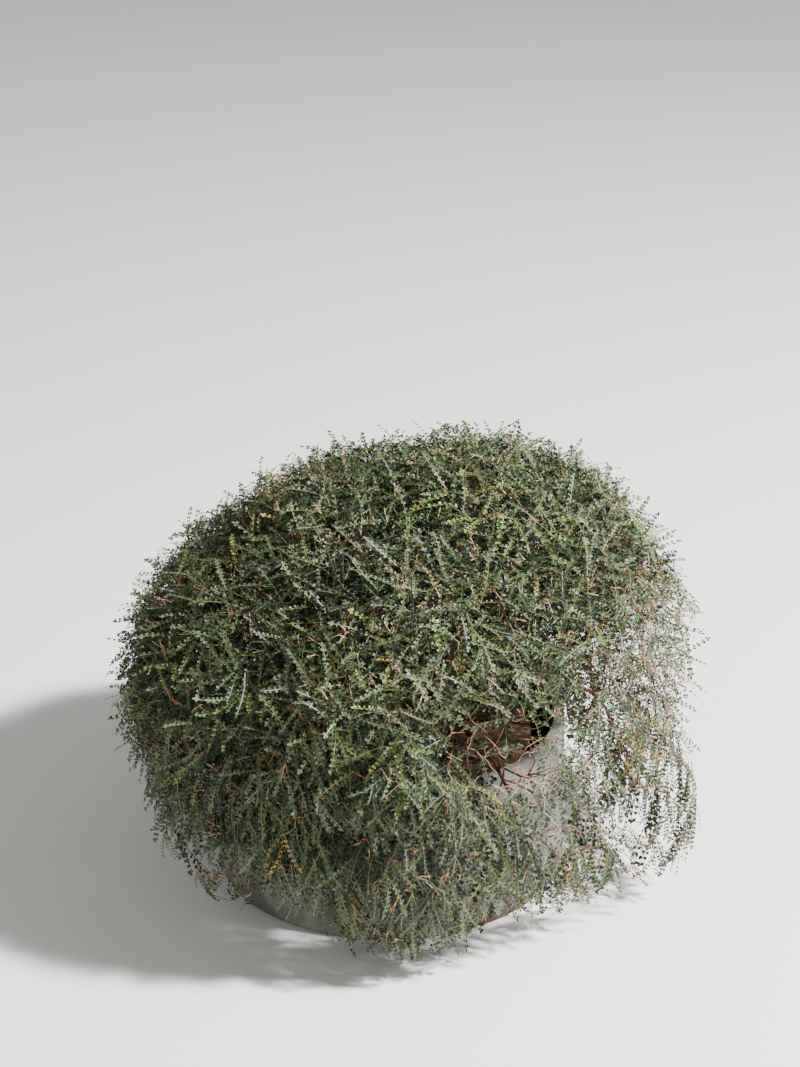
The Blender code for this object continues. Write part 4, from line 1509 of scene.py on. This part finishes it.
class BurnetAddLeaves(bpy.types.Operator):
    """Adds the sprays of leaves of every mass of foliage"""

    bl_idname = "burnet.add_leaves"
    bl_label = "Add Leaves"

    def execute(self, context):
        settings = context.scene.burnet_leaf
        spacing = context.scene.burnet_wood.tip_spacing
        # Burnet leaf: a thin dull wax with a soft sheen, one plain tint to each age of leaf, and the
        # dark, blue and grey tints also as painted shade and a painted highlight
        materials = []
        for slot in LEAF_SLOTS:
            made, _ = new_material(f"burnet_leaf_{slot}", getattr(settings, slot), 0.46, 0.42)
            materials.append(made)
        outer, inner = leaf_units()
        for number, mass in enumerate(masses()):
            dice = np.random.default_rng(SEED * 20 + number)
            wood = wood_of(number, spacing)
            outer_leaves = self.outer_part(settings, number, wood, outer, dice)
            inner_leaves = self.inner_part(settings, number, wood, inner, dice)
            points, triangles, slots = joined([outer_leaves, inner_leaves])
            name = f"leaves_{mass.name}"
            mesh = mesh_from_arrays(name, points, triangles, slots)
            finish_piece(name, mesh, materials, [f"foliage_{mass.name}"])
        return {"FINISHED"}

    def outer_part(self, settings, number, wood, units, dice):
        """Sprays of leaves at the ends of the leafy twigs."""
        ends = np.array(wood.leafy)
        tints = spray_tints(wood.places[ends], dice)
        sprays = np.repeat(np.arange(len(ends)), settings.per_spray)
        joints = ends[sprays]
        tip, way = wood.places[joints], wood.ways[joints]
        before = wood.places[wood.feeds[joints]]
        back = dice.uniform(0.0, LEAF_ROOTS_ALONG, len(joints))[:, None]
        back[::settings.per_spray] = 0.0
        roots = tip + (before - tip) * back
        lengths = settings.length * dice.uniform(*LEAF_LENGTHS, len(joints))
        tip_shares = dice.uniform(*LEAF_TIP_SHARES, len(joints))
        frames, placed = place_leaves(
            number, roots, way, lengths, settings.spread, tip_shares, dice
        )
        picks = dice.integers(0, len(units), placed.sum())
        return copies(units, picks, frames, roots[placed], tints[sprays][placed])

    def inner_part(self, settings, number, wood, units, dice):
        """Old leaves along the wood inside the mass, which close it to the light."""
        shares = crown_share(wood.places)
        inside = (shares > INNER_LEAF_SHELL[0]) & (shares < INNER_LEAF_SHELL[1])
        joints = np.flatnonzero(inside & (thinness(wood.places) < INNER_LEAF_THINNEST))
        spacing = np.full(len(joints), settings.inner_spacing)
        joints = np.repeat(joints[thinned(wood.places[joints], spacing)], 2)
        roots, ways = wood.places[joints], wood.ways[joints]
        lengths = settings.length * dice.uniform(*INNER_LEAF_LENGTHS, len(joints))
        tip_shares = np.full(len(joints), INNER_LEAF_TIP_SHARE)
        frames, placed = place_leaves(
            number, roots, ways, lengths, INNER_LEAF_SPREAD, tip_shares, dice
        )
        picks = dice.integers(0, len(units), placed.sum())
        # Mostly the dark tint, as painted shade inside the crown, and some of the blue and the green one
        tints = dice.choice((0, 0, 0, 1, 2), placed.sum())
        return copies(units, picks, frames, roots[placed], tints)


class BurnetAddSpines(bpy.types.Operator):
    """Adds the forked spines at the crown's outline"""

    bl_idname = "burnet.add_spines"
    bl_label = "Add Spines"

    def execute(self, context):
        settings = context.scene.burnet_wood
        # Dry spines: last years' bare forked tips, weathered to pale tan, orange or greyish pink
        materials = []
        for slot in ("tan_spine", "orange_spine", "pink_spine"):
            made, _ = new_material(f"burnet_{slot}", getattr(settings, slot), 0.55, 0.35)
            materials.append(made)
        dice = np.random.default_rng(SEED + 2)
        woods = [wood_of(number, settings.tip_spacing) for number in range(len(masses()))]
        places = np.vstack([wood.places for wood in woods])
        shares = crown_share(places)
        near = np.flatnonzero((shares > SPINE_SHELL[0]) & (shares < SPINE_SHELL[1]))
        chosen = dice.choice(near, min(settings.spines, len(near)), replace=False)
        roots = places[chosen]
        ways = unit(outward(roots) + dice.normal(size=roots.shape) * SPINE_STRAY)
        guide = dice.normal(size=roots.shape)
        through = unit(guide - ways * (guide * ways).sum(1)[:, None])
        frames = np.stack((np.cross(ways, through), ways, through), axis=2)
        lengths = settings.spine_length * dice.uniform(*SPINE_LENGTHS, len(roots))
        frames *= lengths[:, None, None]
        tips = roots + frames[:, :, 1]
        fit = in_reach(tips) & (crown_share(tips) < SPINE_TIP_SHARE)
        fit &= ~in_window(tips) & ~hits_pot(tips, 0.0)
        units = [self.unit_spine(random.Random(SEED + kind)) for kind in range(SPINE_KINDS)]
        picks = dice.integers(0, len(units), fit.sum())
        tints = dice.choice(3, fit.sum(), p=SPINE_TINT_SHARES)
        points, triangles, slots = copies(units, picks, frames[fit], roots[fit], tints)
        mesh = mesh_from_arrays("spines", points, triangles, slots)
        nodes = [f"foliage_{mass.name}" for mass in masses()]
        finish_piece("spines", mesh, materials, nodes)
        return {"FINISHED"}

    def unit_spine(self, dice):
        """A spine one unit long along Y that forks and forks again, each prong three-sided."""
        bm = bmesh.new()
        place = Vector((0.0, 0.0, 0.0))
        turn = 0.0
        radius = SPINE_RADIUS
        last = SPINE_JOINTS - 1
        for step in range(SPINE_JOINTS):
            turn += math.radians((-1) ** step * dice.uniform(12.0, 24.0))
            way = Vector((math.sin(turn), math.cos(turn), dice.uniform(-0.15, 0.15)))
            end_radius = radius * 0.7 if step < last else SPINE_POINT_RADIUS
            self.add_prong(bm, place, way, SPINE_STEP, radius, end_radius)
            place = place + way.normalized() * SPINE_STEP * 0.94
            radius *= 0.75
            if step < last:
                fork = turn + math.radians((-1) ** (step + 1) * dice.uniform(50.0, 70.0))
                aside = Vector((math.sin(fork), math.cos(fork), dice.uniform(-0.5, 0.5)))
                length = dice.uniform(0.28, 0.46)
                self.add_prong(bm, place, aside, length, radius * 0.9, SPINE_POINT_RADIUS)
        return as_arrays(bm)

    def add_prong(self, bm, start, way, length, radius, end_radius):
        """One straight three-sided prong."""
        way = way.normalized()
        turn = way.to_track_quat("Z", "Y").to_matrix().to_4x4()
        middle = Matrix.Translation(start + way * (length * 0.5))
        bmesh.ops.create_cone(
            bm,
            cap_ends=True,
            segments=3,
            radius1=radius,
            radius2=end_radius,
            depth=length,
            matrix=middle @ turn,
        )


class BurnetSetStage(bpy.types.Operator):
    """Adds the camera, the floor and the lamps"""

    bl_idname = "burnet.set_stage"
    bl_label = "Set Stage"

    def execute(self, context):
        settings = context.scene.burnet_stage
        scene = context.scene
        camera = bpy.data.objects.new("camera", bpy.data.cameras.new("camera"))
        scene.collection.objects.link(camera)
        camera.data.lens = settings.lens_mm
        place = Vector((settings.eye_side, -settings.eye_distance, settings.eye_height))
        tilt = Matrix.Rotation(math.radians(90.0) - settings.look_down, 4, "X")
        roll = Matrix.Rotation(settings.roll, 4, "Z")
        camera.matrix_world = Matrix.Translation(place) @ tilt @ roll
        scene.camera = camera
        bm = bmesh.new()
        bmesh.ops.create_grid(bm, x_segments=1, y_segments=1, size=FLOOR_HALF)
        floor_mesh = mesh_from_bmesh(bm, "floor")
        # Matt floor paint: even and pale, so that the shadow under the shrub reads softly
        paint, _ = new_material("matt_floor_paint", settings.floor, 0.9, 0.2)
        floor_mesh.materials.append(paint)
        floor = bpy.data.objects.new("floor", floor_mesh)
        scene.collection.objects.link(floor)
        self.add_lamp(scene, "key_lamp", settings.key_watts, KEY_SIZE, KEY_PLACE)
        self.add_lamp(scene, "fill_lamp", settings.fill_watts, FILL_SIZE, FILL_PLACE)
        world = bpy.data.worlds.new("soft_surround")
        world.use_nodes = True
        sky = world.node_tree.nodes["Background"]
        sky.inputs["Color"].default_value = (*settings.sky, 1.0)
        sky.inputs["Strength"].default_value = SKY_STRENGTH
        scene.world = world
        return {"FINISHED"}

    def add_lamp(self, scene, name, watts, size, place):
        """One square soft lamp that looks at the crown."""
        data = bpy.data.lights.new(name, "AREA")
        data.energy = watts
        data.size = size
        lamp = bpy.data.objects.new(name, data)
        scene.collection.objects.link(lamp)
        away = Vector(place) - Vector(LAMP_AIM)
        turn = away.to_track_quat("Z", "Y").to_matrix().to_4x4()
        lamp.matrix_world = Matrix.Translation(place) @ turn


class BurnetPanel(bpy.types.Panel):
    """The shrub's pieces and settings in the sidebar"""

    bl_idname = "VIEW3D_PT_burnet"
    bl_label = "Potted Thorny Burnet"
    bl_space_type = "VIEW_3D"
    bl_region_type = "UI"
    bl_category = "Burnet"

    def draw(self, context):
        column = self.layout.column()
        for operator in OPERATORS:
            column.operator(operator.bl_idname)
        for name in SETTINGS:
            settings = getattr(context.scene, name)
            box = self.layout.box()
            for key in settings.bl_rna.properties.keys():
                if key not in ("rna_type", "name"):
                    box.prop(settings, key)


SETTINGS = {
    "burnet_pot": BurnetPotSettings,
    "burnet_wood": BurnetWoodSettings,
    "burnet_leaf": BurnetLeafSettings,
    "burnet_stage": BurnetStageSettings,
}
OPERATORS = (
    BurnetSetStage,
    BurnetAddPot,
    BurnetAddSoil,
    BurnetAddLimbs,
    BurnetAddTwigs,
    BurnetAddLeaves,
    BurnetAddSpines,
)


def register():
    """Registers the settings, the operators and the panel."""
    for name, group in SETTINGS.items():
        bpy.utils.register_class(group)
        setattr(bpy.types.Scene, name, PointerProperty(type=group))
    for operator in OPERATORS:
        bpy.utils.register_class(operator)
    bpy.utils.register_class(BurnetPanel)


def unregister():
    """Takes away what register added."""
    bpy.utils.unregister_class(BurnetPanel)
    for operator in reversed(OPERATORS):
        bpy.utils.unregister_class(operator)
    for name, group in reversed(SETTINGS.items()):
        delattr(bpy.types.Scene, name)
        bpy.utils.unregister_class(group)


def main():
    """Builds the whole shrub on its stage."""
    register()
    bpy.ops.burnet.set_stage()
    bpy.ops.burnet.add_pot()
    bpy.ops.burnet.add_soil()
    bpy.ops.burnet.add_limbs()
    bpy.ops.burnet.add_twigs()
    bpy.ops.burnet.add_leaves()
    bpy.ops.burnet.add_spines()


if __name__ == "__main__":
    main()
